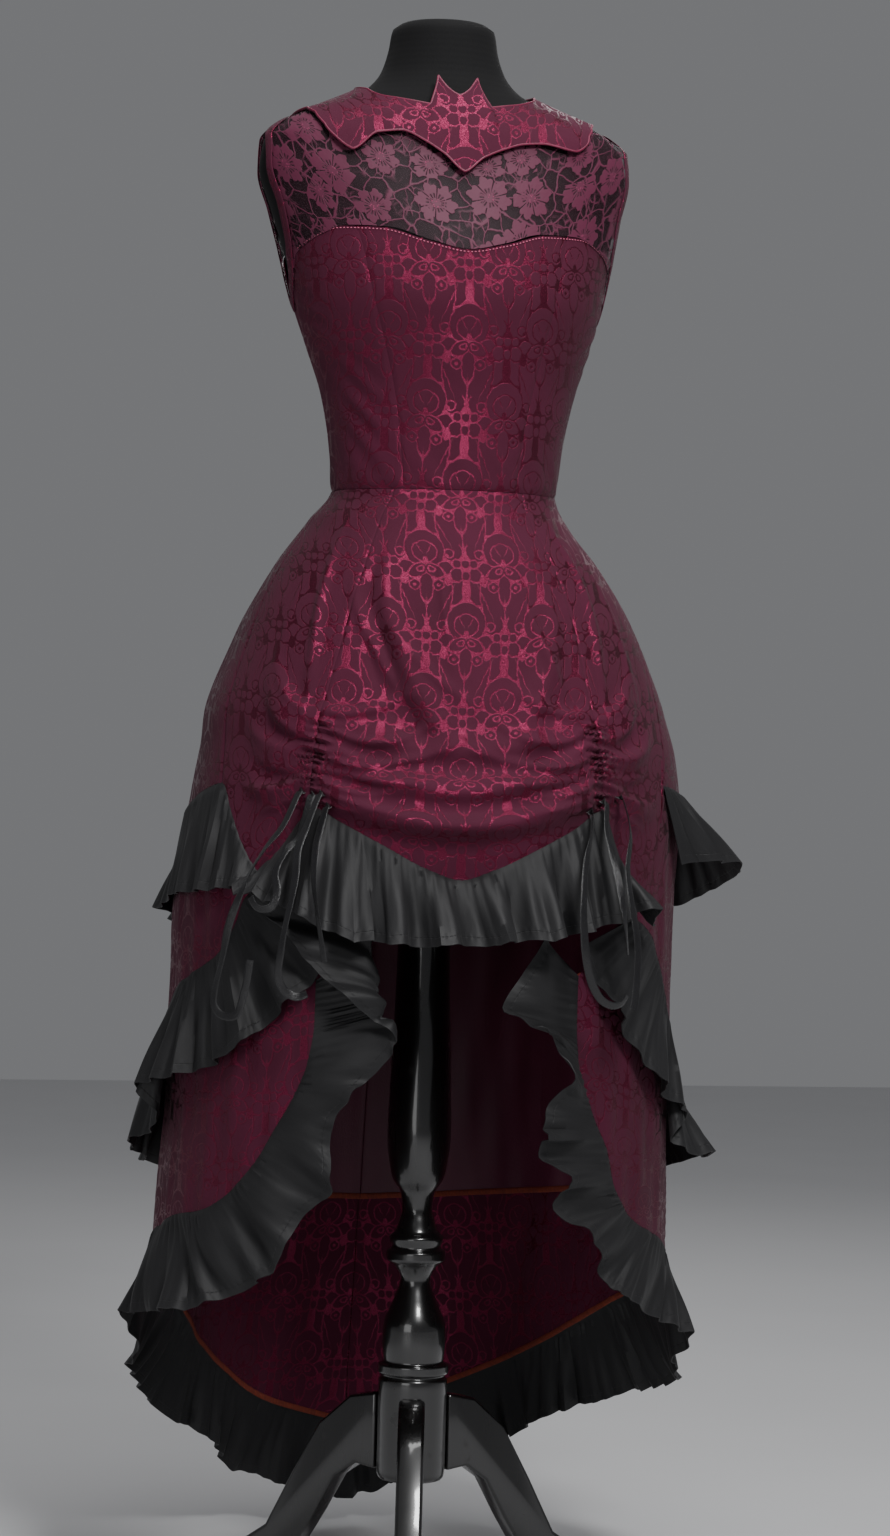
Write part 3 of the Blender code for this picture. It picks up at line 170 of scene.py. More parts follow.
tierOneRuffle = {
    "right": [
        (0, -48, 0.797, 0.008), (1, -53, 0.798, 0.018), (2, -58.5, 0.796, 0.01), (3, -64.5, 0.792, 0.02),
        (3.6, -71, 0.79, 0.006), (4.3, -78, 0.788, 0.014), (4.9, -85, 0.786, 0.004), (5.6, -93, 0.78, 0.01),
        (6.2, -100, 0.774, 0.005), (6.9, -107, 0.766, 0.022), (7.5, -114, 0.757, 0.008),
        (8.2, -123, 0.748, 0.03),
    ],
    "left": [
        (3, 67, 0.832, 0.012), (3.3, 72.5, 0.836, 0.034), (3.7, 79.5, 0.836, 0.058),
        (4.2, 87, 0.828, 0.078), (4.8, 95, 0.809, 0.072), (5.5, 101, 0.789, 0.046),
        (6.2, 107, 0.774, 0.018), (6.9, 115, 0.766, 0.044), (7.5, 121, 0.76, 0.014),
        (8.2, 129, 0.752, 0.04),
    ],
}
tierTwoRuffle = {
    "right": [
        (0, -27, 0.74, 0.01), (0.7, -31.5, 0.706, 0.012), (1.4, -37, 0.68, 0.022), (2.2, -44, 0.65, 0.01),
        (3, -51, 0.622, 0.03), (3.7, -61, 0.6, 0.01), (4.3, -74, 0.585, 0.03), (4.9, -89, 0.566, 0.036),
        (5.4, -85, 0.535, 0.012), (6, -94, 0.514, 0.022), (6.6, -107, 0.489, 0.036),
        (7.2, -110, 0.478, 0.014), (7.8, -119, 0.468, 0.046), (8.4, -127, 0.458, 0.016),
    ],
    "left": [
        (0, 27, 0.742, 0.01), (0.8, 30, 0.708, 0.01), (1.6, 35.5, 0.672, 0.022), (2.4, 42, 0.636, 0.01),
        (3.1, 50, 0.6, 0.024), (3.8, 60, 0.572, 0.008), (4.4, 68.5, 0.552, 0.024), (4.9, 66, 0.52, 0.008),
        (5.5, 74, 0.504, 0.036), (6.1, 87, 0.498, 0.054), (6.8, 97, 0.484, 0.036), (7.4, 106, 0.466, 0.014),
        (8, 116, 0.458, 0.044), (8.6, 124, 0.45, 0.016),
    ],
}
tierThreeRuffle = {
    "right": [
        (0, -22, 0.765, 0.002, -46, 0.795, 0.03), (0.5, -19.5, 0.715, 0.004, -38, 0.752, 0.031),
        (1, -18, 0.68, 0.004, -27, 0.694, 0.027), (1.5, -19, 0.65, 0.002, -14.5, 0.637, 0.012),
        (2.2, -26, 0.607, 0.006, -19, 0.602, 0), (2.9, -31, 0.571, 0.002, -25, 0.571, 0.016),
        (3.5, -33.5, 0.537, 0.01, -28, 0.527, 0.004), (4.1, -35, 0.498, 0.002, -26, 0.479, 0.022),
        (4.8, -42, 0.463, 0.012, -33.5, 0.443, 0.002), (5.4, -47, 0.426, 0, -38, 0.388, 0.026),
        (6.1, -55, 0.399, 0.012, -46.5, 0.36, 0.006), (6.8, -69, 0.384, 0.004, -63, 0.335, 0.034),
        (7.4, -84, 0.365, 0.014, -81, 0.322, 0.012), (8, -99.5, 0.349, 0.004, -99, 0.304, 0.024),
        (8.5, -107, 0.312, 0.002, -100, 0.268, 0.002), (9.1, -120, 0.27, 0.004, -113, 0.226, 0.022),
    ],
    "left": [
        (0, 22, 0.735, 0, 18.5, 0.752, 0.008), (0.5, 19.5, 0.7, 0.004, 13.5, 0.712, -0.002),
        (1, 17.5, 0.668, 0, 8.5, 0.677, 0.006), (1.6, 22, 0.645, 0.006, 17, 0.654, 0.014),
        (2.2, 26, 0.617, 0, 22, 0.632, 0.002), (2.7, 27.5, 0.587, 0.006, 24.5, 0.602, 0.014),
        (3.2, 26.5, 0.562, 0, 20, 0.567, 0), (3.7, 27, 0.537, 0.008, 17.8, 0.541, 0.018),
        (4.2, 28.5, 0.511, 0, 18, 0.514, 0.002), (4.6, 32, 0.489, 0.008, 24.5, 0.488, 0.018),
        (5.1, 33, 0.464, 0, 22, 0.459, 0.002), (5.6, 39, 0.436, 0.008, 31, 0.42, 0.024),
        (6.1, 43, 0.409, 0.002, 34.5, 0.385, 0.004), (6.6, 47, 0.39, 0.01, 38, 0.362, 0.028),
        (7.1, 59, 0.37, 0.004, 52, 0.333, 0.008), (7.7, 77, 0.342, 0.01, 73, 0.296, 0.03),
        (8.2, 87, 0.312, 0.004, 82, 0.262, 0.01), (8.8, 101, 0.27, 0.012, 97, 0.228, 0.036),
    ],
}
bustSeam = [
    (0, 1.508), (14, 1.517), (28, 1.53), (45, 1.532), (58, 1.523), (72, 1.51), (80, 1.5), (86, 1.474),
    (90, 1.462), (95, 1.474), (101, 1.5), (112, 1.512), (140, 1.522), (180, 1.525),
]
neckLine = [(0, 1.652), (20, 1.658), (45, 1.674), (70, 1.688), (90, 1.692), (120, 1.69), (180, 1.686)]
armholeEdge = [
    (1.495, 81.33, 101.24), (1.53, 76.5, 104.5), (1.57, 74, 107), (1.605, 74, 107), (1.635, 78, 103),
    (1.65, 84, 97), (1.657, 89.9, 90.1), (1.7, 89.9, 90.1),
]
armholeLoop = [
    (90, 1.459), (85, 1.474), (79, 1.5), (75.2, 1.53), (72.8, 1.57), (72.8, 1.605), (76.5, 1.633),
    (83, 1.649), (90, 1.657), (98, 1.649), (104.5, 1.633), (108.2, 1.605), (108.2, 1.57), (105.5, 1.53),
    (102, 1.5), (96, 1.474),
]
collarOutline = [
    (-178.5, 1.64, 0.016, -178.5, 1.703, 0.013), (-150, 1.632, 0.016, -150, 1.703, 0.013),
    (-125, 1.647, 0.016, -125, 1.702, 0.014), (-100, 1.668, 0.014, -100, 1.7, 0.013),
    (-80, 1.672, 0.013, -82, 1.698, 0.013), (-68, 1.668, 0.016, -71, 1.696, 0.013),
    (-58, 1.662, 0.013, -60, 1.693, 0.012), (-46, 1.647, 0.013, -50, 1.688, 0.012),
    (-33, 1.617, 0.015, -38, 1.682, 0.012), (-26, 1.637, 0.014, -29, 1.679, 0.013),
    (-18, 1.64, 0.014, -21, 1.676, 0.014), (-11, 1.628, 0.015, -12, 1.672, 0.015),
    (-5.5, 1.614, 0.016, -13, 1.706, 0.018), (0, 1.595, 0.016, 0, 1.684, 0.017),
    (5.5, 1.612, 0.016, 13, 1.705, 0.018), (11, 1.622, 0.015, 12, 1.672, 0.015),
    (18, 1.631, 0.014, 21, 1.676, 0.014), (26, 1.634, 0.014, 29, 1.679, 0.013),
    (37, 1.629, 0.015, 40, 1.684, 0.012), (48, 1.65, 0.013, 52, 1.689, 0.012),
    (59, 1.662, 0.013, 61, 1.693, 0.012), (69, 1.668, 0.016, 71, 1.696, 0.013),
    (80, 1.672, 0.013, 82, 1.698, 0.013), (100, 1.668, 0.014, 100, 1.7, 0.013),
    (125, 1.647, 0.016, 125, 1.702, 0.014), (150, 1.632, 0.016, 150, 1.703, 0.013),
    (178.5, 1.64, 0.016, 178.5, 1.703, 0.013),
]
postProfile = [
    (0.124, 0.02), (0.126, 0.034), (0.136, 0.039), (0.238, 0.039), (0.244, 0.036), (0.248, 0.04),
    (0.256, 0.04), (0.26, 0.034), (0.28, 0.036), (0.3, 0.0355), (0.33, 0.024), (0.352, 0.017),
    (0.368, 0.024), (0.376, 0.0335), (0.384, 0.0335), (0.39, 0.028), (0.4, 0.031), (0.408, 0.024),
    (0.42, 0.02), (0.432, 0.017), (0.45, 0.019), (0.47, 0.03), (0.52, 0.0365), (0.6, 0.034), (0.72, 0.03),
    (0.9, 0.028), (0.9444, 0.028),
]
ribbonRoutes = {
    "ribbon_right_loop": [
        (-36.6, 0.904, 0), (-37.2, 0.868, 0.036), (-39.6, 0.844, 0.046), (-41.3, 0.819, 0.058),
        (-42.9, 0.792, 0.066), (-46.3, 0.76, 0.064), (-48.8, 0.723, 0.058), (-51.1, 0.689, 0.053),
        (-51.4, 0.671, 0.052), (-49.5, 0.661, 0.051), (-45.9, 0.663, 0.051), (-44, 0.695, 0.051),
        (-43.1, 0.722, 0.052),
    ],
    "ribbon_right_low": [
        (-33.3, 0.9, 0), (-33.2, 0.857, 0.036), (-35.1, 0.841, 0.046), (-36.3, 0.818, 0.056),
        (-35.4, 0.797, 0.062), (-36.6, 0.78, 0.066), (-39.5, 0.779, 0.066), (-40.7, 0.79, 0.066),
    ],
    "ribbon_right_tail": [
        (-31, 0.902, 0), (-31.2, 0.868, 0.044), (-31.9, 0.842, 0.054), (-31.6, 0.812, 0.063),
        (-32.3, 0.787, 0.069), (-34, 0.759, 0.071), (-34.9, 0.735, 0.071), (-35.7, 0.708, 0.067),
        (-34.8, 0.692, 0.062), (-32.7, 0.685, 0.058), (-30.7, 0.689, 0.057),
    ],
    "ribbon_right_front": [
        (-28.9, 0.889, 0), (-29.2, 0.862, 0.034), (-29, 0.844, 0.044), (-28.2, 0.811, 0.06),
        (-27.7, 0.777, 0.068), (-27.6, 0.747, 0.068), (-27.2, 0.724, 0.064),
    ],
    "ribbon_left_loop": [
        (29.8, 0.89, 0), (28.2, 0.868, 0.028), (24.7, 0.838, 0.044), (22, 0.803, 0.06),
        (20.5, 0.769, 0.066), (20.4, 0.737, 0.066), (22, 0.709, 0.062), (24.6, 0.689, 0.058),
        (27.6, 0.681, 0.056), (30, 0.683, 0.056), (31.2, 0.692, 0.056),
    ],
    "ribbon_left_tail": [
        (38.3, 0.906, 0), (36, 0.868, 0.042), (33, 0.83, 0.054), (31.7, 0.791, 0.066), (31.1, 0.752, 0.072),
        (31.1, 0.713, 0.072), (30.7, 0.676, 0.07),
    ],
    "ribbon_left_front": [
        (33.2, 0.901, 0), (31, 0.872, 0.034), (30, 0.85, 0.048), (29.3, 0.815, 0.064), (28.5, 0.775, 0.074),
        (28.5, 0.737, 0.074),
    ],
}

sides = (("right", -1.0), ("left", 1.0))
sizes = {
    "brocade": 0.0015, "ruffle": 0.0012, "lace": 0.0012, "collar": 0.002, "tierStep": 0.0024,
    "liningInset": 0.016, "waist": 1.2433, "bodiceClear": 0.0018, "yokeClear": 0.0046, "princess": 35.0,
    "sideAtWaist": 85.0, "centreBack": 180.0, "ruffleDrop": 0.098, "seamDip": 0.001,
}

# Small folds that the photograph shows round the gathers, as the large ones above: start angle and height,
# end angle and height, sag, half width, depth.
smallFolds = [
    (-34, 0.982, -6, 0.985, 0.024, 0.005, 0.0045), (-34, 0.966, 2, 0.972, 0.03, 0.005, 0.0035),
    (-34, 0.951, -12, 0.944, 0.014, 0.004, 0.004), (-34, 0.938, -4, 0.922, 0.012, 0.005, 0.0035),
    (-34, 0.922, -14, 0.906, 0.008, 0.004, 0.0035), (-34, 0.91, -8, 0.88, 0.004, 0.004, 0.003),
    (-34, 0.899, -20, 0.884, 0.003, 0.003, 0.0025), (-34, 0.995, -14, 1.012, 0.01, 0.006, 0.0035),
    (33, 0.985, 8, 0.986, 0.022, 0.005, 0.0045), (33, 0.97, -2, 0.968, 0.03, 0.005, 0.0035),
    (33, 0.955, 12, 0.945, 0.012, 0.004, 0.004), (33, 0.942, 5, 0.925, 0.014, 0.005, 0.0035),
    (33, 0.926, 14, 0.908, 0.008, 0.004, 0.0035), (33, 0.912, 10, 0.886, 0.005, 0.004, 0.003),
    (33, 0.999, 14, 1.018, 0.01, 0.006, 0.0035), (33, 0.902, 21, 0.888, 0.003, 0.003, 0.0025),
    (-37, 0.99, -58, 1.062, 0.01, 0.006, 0.004), (-37, 0.967, -52, 1.002, 0.008, 0.005, 0.0035),
    (-37, 0.953, -62, 0.985, 0.01, 0.005, 0.0035), (-37, 0.932, -54, 0.944, 0.008, 0.005, 0.0035),
    (-37, 0.918, -60, 0.914, 0.01, 0.004, 0.003), (-37, 0.903, -50, 0.882, 0.004, 0.004, 0.003),
    (37, 0.992, 57, 1.058, 0.01, 0.006, 0.004), (37, 0.969, 52, 1.004, 0.008, 0.005, 0.0035),
    (37, 0.95, 60, 0.98, 0.01, 0.005, 0.0035), (37, 0.93, 53, 0.938, 0.008, 0.005, 0.0035),
    (37, 0.915, 58, 0.906, 0.01, 0.004, 0.003), (37, 0.902, 49, 0.872, 0.004, 0.004, 0.003),
    (-36, 1.128, -14, 1.01, 0.004, 0.007, 0.004), (-20, 1.085, 2, 1.005, 0.006, 0.006, 0.003),
    (-52, 1.19, -40, 1.02, -0.004, 0.008, 0.0035), (-63, 1.2, -55, 1.06, 0.004, 0.008, 0.003),
    (48, 1.19, 40, 1.03, -0.004, 0.008, 0.003), (60, 1.195, 54, 1.04, 0.004, 0.009, 0.0035),
    (18, 1.12, 27, 1.02, 0.004, 0.007, 0.003), (-9, 1.15, -2, 1.04, 0.002, 0.007, 0.0025),
]
channelRuching = {
    "angles": (-34.8, 34.6), "top": 0.985, "bottom": 0.886, "reach": 5.0, "depth": 0.0042, "pitch": 0.0085,
}


def dropIn(values):
    return np.clip(values, 0, 1) ** 2 * (3 - 2 * np.clip(values, 0, 1))


def makeCurve(rows, column=0):
    # Reads a table as smooth curves that never overshoot its rows.
    table = np.array(rows, float)
    if table[0, column] > table[-1, column]:
        table = table[::-1]
    keys = table[:, column]
    rises = np.diff(table, axis=0) / np.diff(keys)[:, None]
    slopes = np.zeros_like(table)
    before, after = rises[:-1], rises[1:]
    total = np.where(before * after > 0, before + after, 1.0)
    slopes[1:-1] = np.where(before * after > 0, 2 * before * after / total, 0.0)
    return keys, table, slopes


def readCurve(curve, key):
    keys, table, slopes = curve
    key = np.clip(np.asarray(key, float), keys[0], keys[-1])
    index = np.clip(np.searchsorted(keys, key, side="right") - 1, 0, len(keys) - 2)
    span = (keys[index + 1] - keys[index])[..., None]
    t = (key - keys[index])[..., None] / span
    t2, t3 = t * t, t * t * t
    return ((2 * t3 - 3 * t2 + 1) * table[index] + (t3 - 2 * t2 + t) * slopes[index] * span
            + (3 * t2 - 2 * t3) * table[index + 1] + (t3 - t2) * slopes[index + 1] * span)


def alongRows(rows, places, smooth=True):
    # Every column of a table at places counted in rows.
    if smooth:
        table = [(index,) + tuple(row) for index, row in enumerate(rows)]
        return readCurve(makeCurve(table), places)[..., 1:]
    table = np.array(rows, float)
    index = np.clip(np.asarray(places, int), 0, len(rows) - 2)
    share = (np.asarray(places, float) - index)[..., None]
    return table[index] * (1 - share) + table[index + 1] * share


formCurve = makeCurve(formSections)
skirtCurve = makeCurve(skirtSections)


def ringPoint(curve, angle, height, out):
    angle, height, out = np.broadcast_arrays(*[np.asarray(value, float) for value in (angle, height, out)])
    values = readCurve(curve, height)
    turn = np.radians(angle)
    depth = np.where(np.cos(turn) > 0, values[..., 2], values[..., 3])
    x = values[..., 4] + (values[..., 1] + out) * np.sin(turn)
    return np.stack([x, -(depth + out) * np.cos(turn), height], -1) + axis


def formPoint(angle, height, out):
    return ringPoint(formCurve, angle, height, out)


def unevenness(places, scale, seed):
    # Slow wandering values along a line, the same on each run.
    flat = np.asarray(places, float).ravel()
    values = [noise.noise(Vector((value * scale, seed, 0.5))) for value in flat]
    return np.array(values).reshape(np.shape(places))


def skirtRipple(angle, height):
    reach = np.clip((np.abs(angle) - 62) / 40, 0, 1)
    growth = np.clip((0.95 - height) / 0.6, 0, 1)
    wave = np.sin(np.radians(angle) * 7 + 1.3) + 0.5 * np.sin(np.radians(angle) * 10 + height * 3)
    fine = 0.25 * np.sin(np.radians(angle) * 23 + height * 5) * growth
    return 0.004 * reach * growth * (wave + fine)


def skirtPoint(angle, height, out):
    angle, height, out = np.broadcast_arrays(*[np.asarray(value, float) for value in (angle, height, out)])
    turned = angle + readCurve(skirtCurve, height)[..., 5]
    return ringPoint(skirtCurve, turned, height, out + skirtRipple(angle, height))


def foldDepth(angle, height, folds):
    total = np.zeros(np.shape(angle))
    for start, startHeight, end, endHeight, sag, width, depth in folds:
        t = (angle - start) / (end - start)
        near = dropIn((t + 0.15) / 0.15) * dropIn((1.15 - t) / 0.15)
        t = np.clip(t, 0, 1)
        path = startHeight + (endHeight - startHeight) * t - sag * 4 * t * (1 - t)
        slope = (endHeight - startHeight - sag * 4 * (1 - 2 * t)) / (math.radians(end - start) * 0.24)
        distance = (height - path) / np.sqrt(1 + slope * slope)
        total += near * depth * np.exp(-(distance / width) ** 2) * (0.35 + 0.65 * np.sin(math.pi * t))
    return total * np.clip((60 - np.abs(angle)) / 14, 0, 1)


def ruching(angle, height):
    # The crumpled cloth on the two drawstring channels.
    total = np.zeros(np.shape(angle))
    c = channelRuching
    for number, centre in enumerate(c["angles"]):
        wander = unevenness(height, 60, number * 3.1) * 1.4
        across = (angle - centre) / c["reach"]
        along = np.clip((c["top"] + 0.012 - height) / 0.02, 0,
                        1) * np.clip((height - c["bottom"] + 0.01) / 0.01, 0, 1)
        crumple = np.sin(2 * math.pi * (height / c["pitch"] + 0.35 * across) + 4 * wander)
        groove = -0.5 * np.exp(-((angle - centre) / 0.5) ** 2)
        total += c["depth"] * along * np.exp(-across ** 2) * (crumple * (0.7 + 0.4 * wander) + groove)
    return total


def apronLift(angle, height):
    across = np.where(np.abs(angle) < 40, np.cos(np.radians(np.clip(angle, -40, 40) * 2.25)), 0)
    puff = 0.020 * across * np.exp(-((height - 0.875) / 0.07) ** 2)
    large = np.maximum(foldDepth(angle, height, apronFolds) + puff, -0.004)
    calm = np.clip((1.235 - height) / 0.03, 0, 1)
    return large + calm * (1.35 * foldDepth(angle, height, smallFolds) + ruching(angle, height))


def bodiceWrinkles(angle, height):
    # Light drags at the waist and under the arms.
    waist = np.exp(-((height - 1.262) / 0.02) ** 2) * np.sin(np.radians(angle) * 17 + height * 90)
    arm = np.exp(-((np.abs(angle) - 74) / 12) ** 2 - ((height - 1.43) / 0.05) ** 2)
    drag = np.sin((height - 0.0012 * np.abs(angle)) * 260)
    left = np.exp(-((angle + 52) / 12) ** 2 - ((height - 1.33) / 0.06)
                  ** 2) * np.sin((height + 0.002 * angle) * 170)
    return 0.0007 * waist + 0.0011 * arm * drag + 0.0016 * left + 0.0009


def bodicePoint(angle, height, out):
    angle, height = np.broadcast_arrays(np.asarray(angle, float), np.asarray(height, float))
    fade = np.clip((height - sizes["waist"]) / 0.01, 0, 1)
    lift = sizes["bodiceClear"] + sizes["brocade"] + fade * bodiceWrinkles(angle, height)
    return formPoint(angle, height, lift + out)


def levelRows(places):
    # Lengths along each row of a grid, from its first column.
    steps = np.linalg.norm(np.diff(places, axis=1), axis=2)
    return np.concatenate([np.zeros((len(places), 1)), np.cumsum(steps, axis=1)], axis=1)


def toCentreBack(angle):
    return np.where(np.abs(angle) > 179.8, np.sign(angle) * 180.0, angle)


def clothGrid(low, high, rows, place, out=0.0, dipRow=None):
    # Points between two lines of angle and height, bottom row first; the cloth dips at its upright seams.
    t = np.linspace(0, 1, rows + 1)[:, None, None]
    spots = low[None] + (high - low)[None] * t
    spots[..., 0] = toCentreBack(spots[..., 0])
    dips = np.zeros(spots.shape[:2])
    dips[:, [0, -1]] = sizes["seamDip"]
    if dipRow is not None:
        dips[dipRow] = sizes["seamDip"]
    return place(spots[..., 0], spots[..., 1], out - dips), spots


def straightCloth(points, spots, curve, shift=0.0):
    # Flat coordinates in metres for cloth cut on the straight grain: round the body, and down from the waist.
    turns = np.linspace(0, 1, 41)[:, None, None] * spots[..., 0][None]
    heights = np.broadcast_to(spots[..., 1][None], turns.shape)
    ring = ringPoint(curve, turns, heights, 0.0)
    length = np.linalg.norm(np.diff(ring, axis=0), axis=3).sum(0) * np.sign(spots[..., 0])
    steps = np.linalg.norm(np.diff(points, axis=0), axis=2)
    rise = np.concatenate([np.zeros((1, points.shape[1])), np.cumsum(steps, axis=0)])
    rise = rise - rise[-1:] + (spots[-1:, :, 1] - sizes["waist"])
    return np.stack([length + shift, rise], -1)


class Value:
    # A shader socket that sums and products are written with.
    def __init__(self, finish, socket):
        self.finish = finish
        self.socket = socket

    def math(self, operation, other=None, swapped=False):
        values = [self] if other is None else [other, self] if swapped else [self, other]
        return self.finish.add("ShaderNodeMath", {"operation": operation}, dict(enumerate(values)))[0]

    def __add__(self, other):
        return self.math("ADD", other)

    def __sub__(self, other):
        return self.math("SUBTRACT", other)

    def __rsub__(self, other):
        return self.math("SUBTRACT", other, True)

    def __mul__(self, other):
        return self.math("MULTIPLY", other)

    def __truediv__(self, other):
        return self.math("DIVIDE", other)

    __radd__ = __add__
    __rmul__ = __mul__

    def clamp(self):
        return self.math("MINIMUM", 1.0).math("MAXIMUM", 0.0)


class Finish:
    def __init__(self, name, **settings):
        self.material = bpy.data.materials.new(name)
        self.material.use_nodes = True
        self.tree = self.material.node_tree
        self.shader = self.tree.nodes["Principled BSDF"]
        for label, value in settings.items():
            self.shader.inputs[label.replace("_", " ")].default_value = value

    # Any node: its type, its settings, then the values or links of its sockets; returns its outputs.
    def add(self, kind, settings=None, values=None):
        made = self.tree.nodes.new(kind)
        for label, value in (settings or {}).items():
            setattr(made, label, value)
        for label, value in (values or {}).items():
            if isinstance(value, Value):
                self.tree.links.new(value.socket, made.inputs[label])
            else:
                made.inputs[label].default_value = value
        return [Value(self, socket) for socket in made.outputs]

    def feed(self, label, value):
        self.tree.links.new(value.socket, self.shader.inputs[label])

    def mix(self, share, low, high):
        return self.add("ShaderNodeMix", {"data_type": "RGBA"}, {0: share, 6: low, 7: high})[2]

    def vector(self, operation, first, second=None, output=0):
        values = {0: first} if second is None else {0: first, 1: second}
        return self.add("ShaderNodeVectorMath", {"operation": operation}, values)[output]

    def noise(self, place, scale, detail=2.0, rough=0.5):
        return self.add("ShaderNodeTexNoise", None,
                        {"Vector": place, "Scale": scale, "Detail": detail, "Roughness": rough})

    def bump(self, height, distance, strength=1.0):
        self.feed("Normal", self.add("ShaderNodeBump", None, {"Height": height, "Distance": distance,
                                                              "Strength": strength})[0])

    def split(self, vector):
        return self.add("ShaderNodeSeparateXYZ", None, {0: vector})

    def join(self, x, y, z=0.0):
        return self.add("ShaderNodeCombineXYZ", None, {0: x, 1: y, 2: z})[0]

    def flat(self):
        return self.add("ShaderNodeTexCoord")[2]

    def placeOn(self):
        return self.add("ShaderNodeTexCoord")[3]


# Damask of half-drop leaves and palmettes. Sizes in millimetres; each shape is x, y, half width, half height,
# turn in degrees and kind: leaf adds figure with a dark outline, plain adds figure, gap takes it away.
damask = {
    "width": 88.0, "height": 172.0, "soft": 0.5, "outline": 0.85, "wobble": 2.0,
    "figure": (0.084, 0.004, 0.0268, 1), "figureDark": (0.051, 0.0024, 0.016, 1),
    "satin": (0.15, 0.0155, 0.044, 1), "figureRough": 0.8, "satinRough": 0.25, "satinMetal": 0.92,
    "shapes": [
        (12, 44, 11, 17, 32, "leaf"), (32, -42, 11, 17, -32, "leaf"), (30, 33, 13, 30, 14, "leaf"),
        (14, -53, 13, 30, -14, "leaf"), (30, 8, 12.5, 13, 0, "leaf"), (29, 18, 11, 14, 0, "plain"),
        (27, 5, 5.2, 5.5, 0, "line"), (24, 2, 2.4, 3.0, 30, "gap"), (22, 33, 0.7, 21, 24, "gap"),
        (22, -53, 0.7, 21, -24, "gap"), (0, 46, 5.2, 16, 0, "gap"), (44, -40, 5.2, 16, 0, "gap"),
        (0, -36, 7.5, 19, 0, "leaf"), (44, 50, 7.5, 19, 0, "leaf"), (44, 22, 0.8, 16, 0, "gap"),
        (0, 9, 22, 24, 0, "leaf"), (0, 6, 13.5, 13, 0, "line"), (5.5, 10, 0.6, 6.5, -28, "gap"),
        (0, -4, 3.0, 4, 0, "gap"), (20, -14, 10.5, 8.0, 20, "leaf"), (9, -17, 12, 7.5, -35, "leaf"),
        (6, -15, 4.2, 3.0, -30, "line"), (13, -34, 6.0, 6.0, 0, "leaf"), (13, -34, 2.2, 2.2, 0, "gap"),
        (23, -30, 3.6, 5.0, 25, "gap"), (34, -21, 7.5, 8.5, 0, "leaf"), (35, -8, 5.0, 5.5, 30, "leaf"),
        (44, -8, 5, 5.5, 0, "leaf"), (44, -22, 4.6, 6, 0, "leaf"),
    ],
}


def makeBrocade(values):
    finish = Finish("damaskBrocade", Sheen_Weight=0.04, Specular_IOR_Level=0.3)
    flat = finish.flat()
    spot = finish.split(flat)
    x, y = spot[0] * 1000, spot[1] * 1000
    rows = y / (values["height"] / 2) + 0.5
    row = rows.math("FLOOR")
    rise = (rows - row - 0.5) * (values["height"] / 2)
    other = row.math("FLOORED_MODULO", 2.0)
    across = ((x / values["width"] - other * 0.5 + 0.5).math("FRACT")
              - 0.5).math("ABSOLUTE") * values["width"]
    place = finish.join(across, rise)
    wobble = finish.noise(place, 0.21, 2.0, 0.6)[1]
    away = finish.vector("MULTIPLY", finish.vector("SUBTRACT", wobble, (0.5, 0.5, 0.5)),
                         (values["wobble"] * 2, values["wobble"] * 2, 0.0))
    place = finish.vector("ADD", place, away)
    mask = None
    for cx, cy, wide, tall, turn, kind in values["shapes"]:
        within = finish.add("ShaderNodeMapping", {"vector_type": "TEXTURE"},
                            {"Vector": place, "Location": (cx, cy, 0),
                             "Rotation": (0, 0, math.radians(turn)),
                             "Scale": (wide, tall, 1)})[0]
        reach = finish.vector("LENGTH", within, output=1)
        size = min(wide, tall)
        if kind in ("leaf", "plain"):
            body = ((1 - reach) * (size / values["soft"]) + 0.5).clamp()
            mask = body if mask is None else mask.math("MAXIMUM", body)
        if kind in ("leaf", "line"):
            ring = ((values["outline"] - (1 - reach).math("ABSOLUTE") * size) * (1 / values["soft"])
                    + 0.5).clamp()
            mask = mask * (1 - ring)
        if kind == "gap":
            mask = mask * (1 - ((1 - reach) * (size / values["soft"]) + 0.5).clamp())
    cloudy = finish.noise(flat, 9.0, 3.0)[0]
    shade = finish.mix((cloudy * 1.6 - 0.3).clamp(), values["figureDark"], values["figure"])
    slub = finish.noise(finish.vector("MULTIPLY", flat, (2600.0, 420.0, 1.0)), 1.0, 1.0)[0]
    shade = finish.mix((slub * 0.5).clamp(), shade, values["figureDark"])
    finish.feed("Base Color", finish.mix(mask, values["satin"], shade))
    finish.feed("Roughness", mask * (values["figureRough"] - values["satinRough"]) + values["satinRough"]
                + slub * 0.06)
    finish.feed("Metallic", (1 - mask) * values["satinMetal"])
    warp = (spot[0] * (2 * math.pi / 0.00085)).math("SINE")
    weft = (spot[1] * (2 * math.pi / 0.0007)).math("SINE")
    crepe = finish.noise(flat, 180.0, 2.0)[0]
    finish.bump(mask * 1.1 + warp * weft * 0.22 + slub * 0.25 + crepe * 0.5, 0.0005, 0.55)
    return finish.material


laceLook = {
    "thread": (0.098, 0.0068, 0.034, 1), "ground": (0.026, 0.0022, 0.0105, 1),
    "bright": (0.3, 0.026, 0.095, 1), "spacing": 0.058, "flower": 0.0235, "net": 0.34, "vein": 0.0009,
}


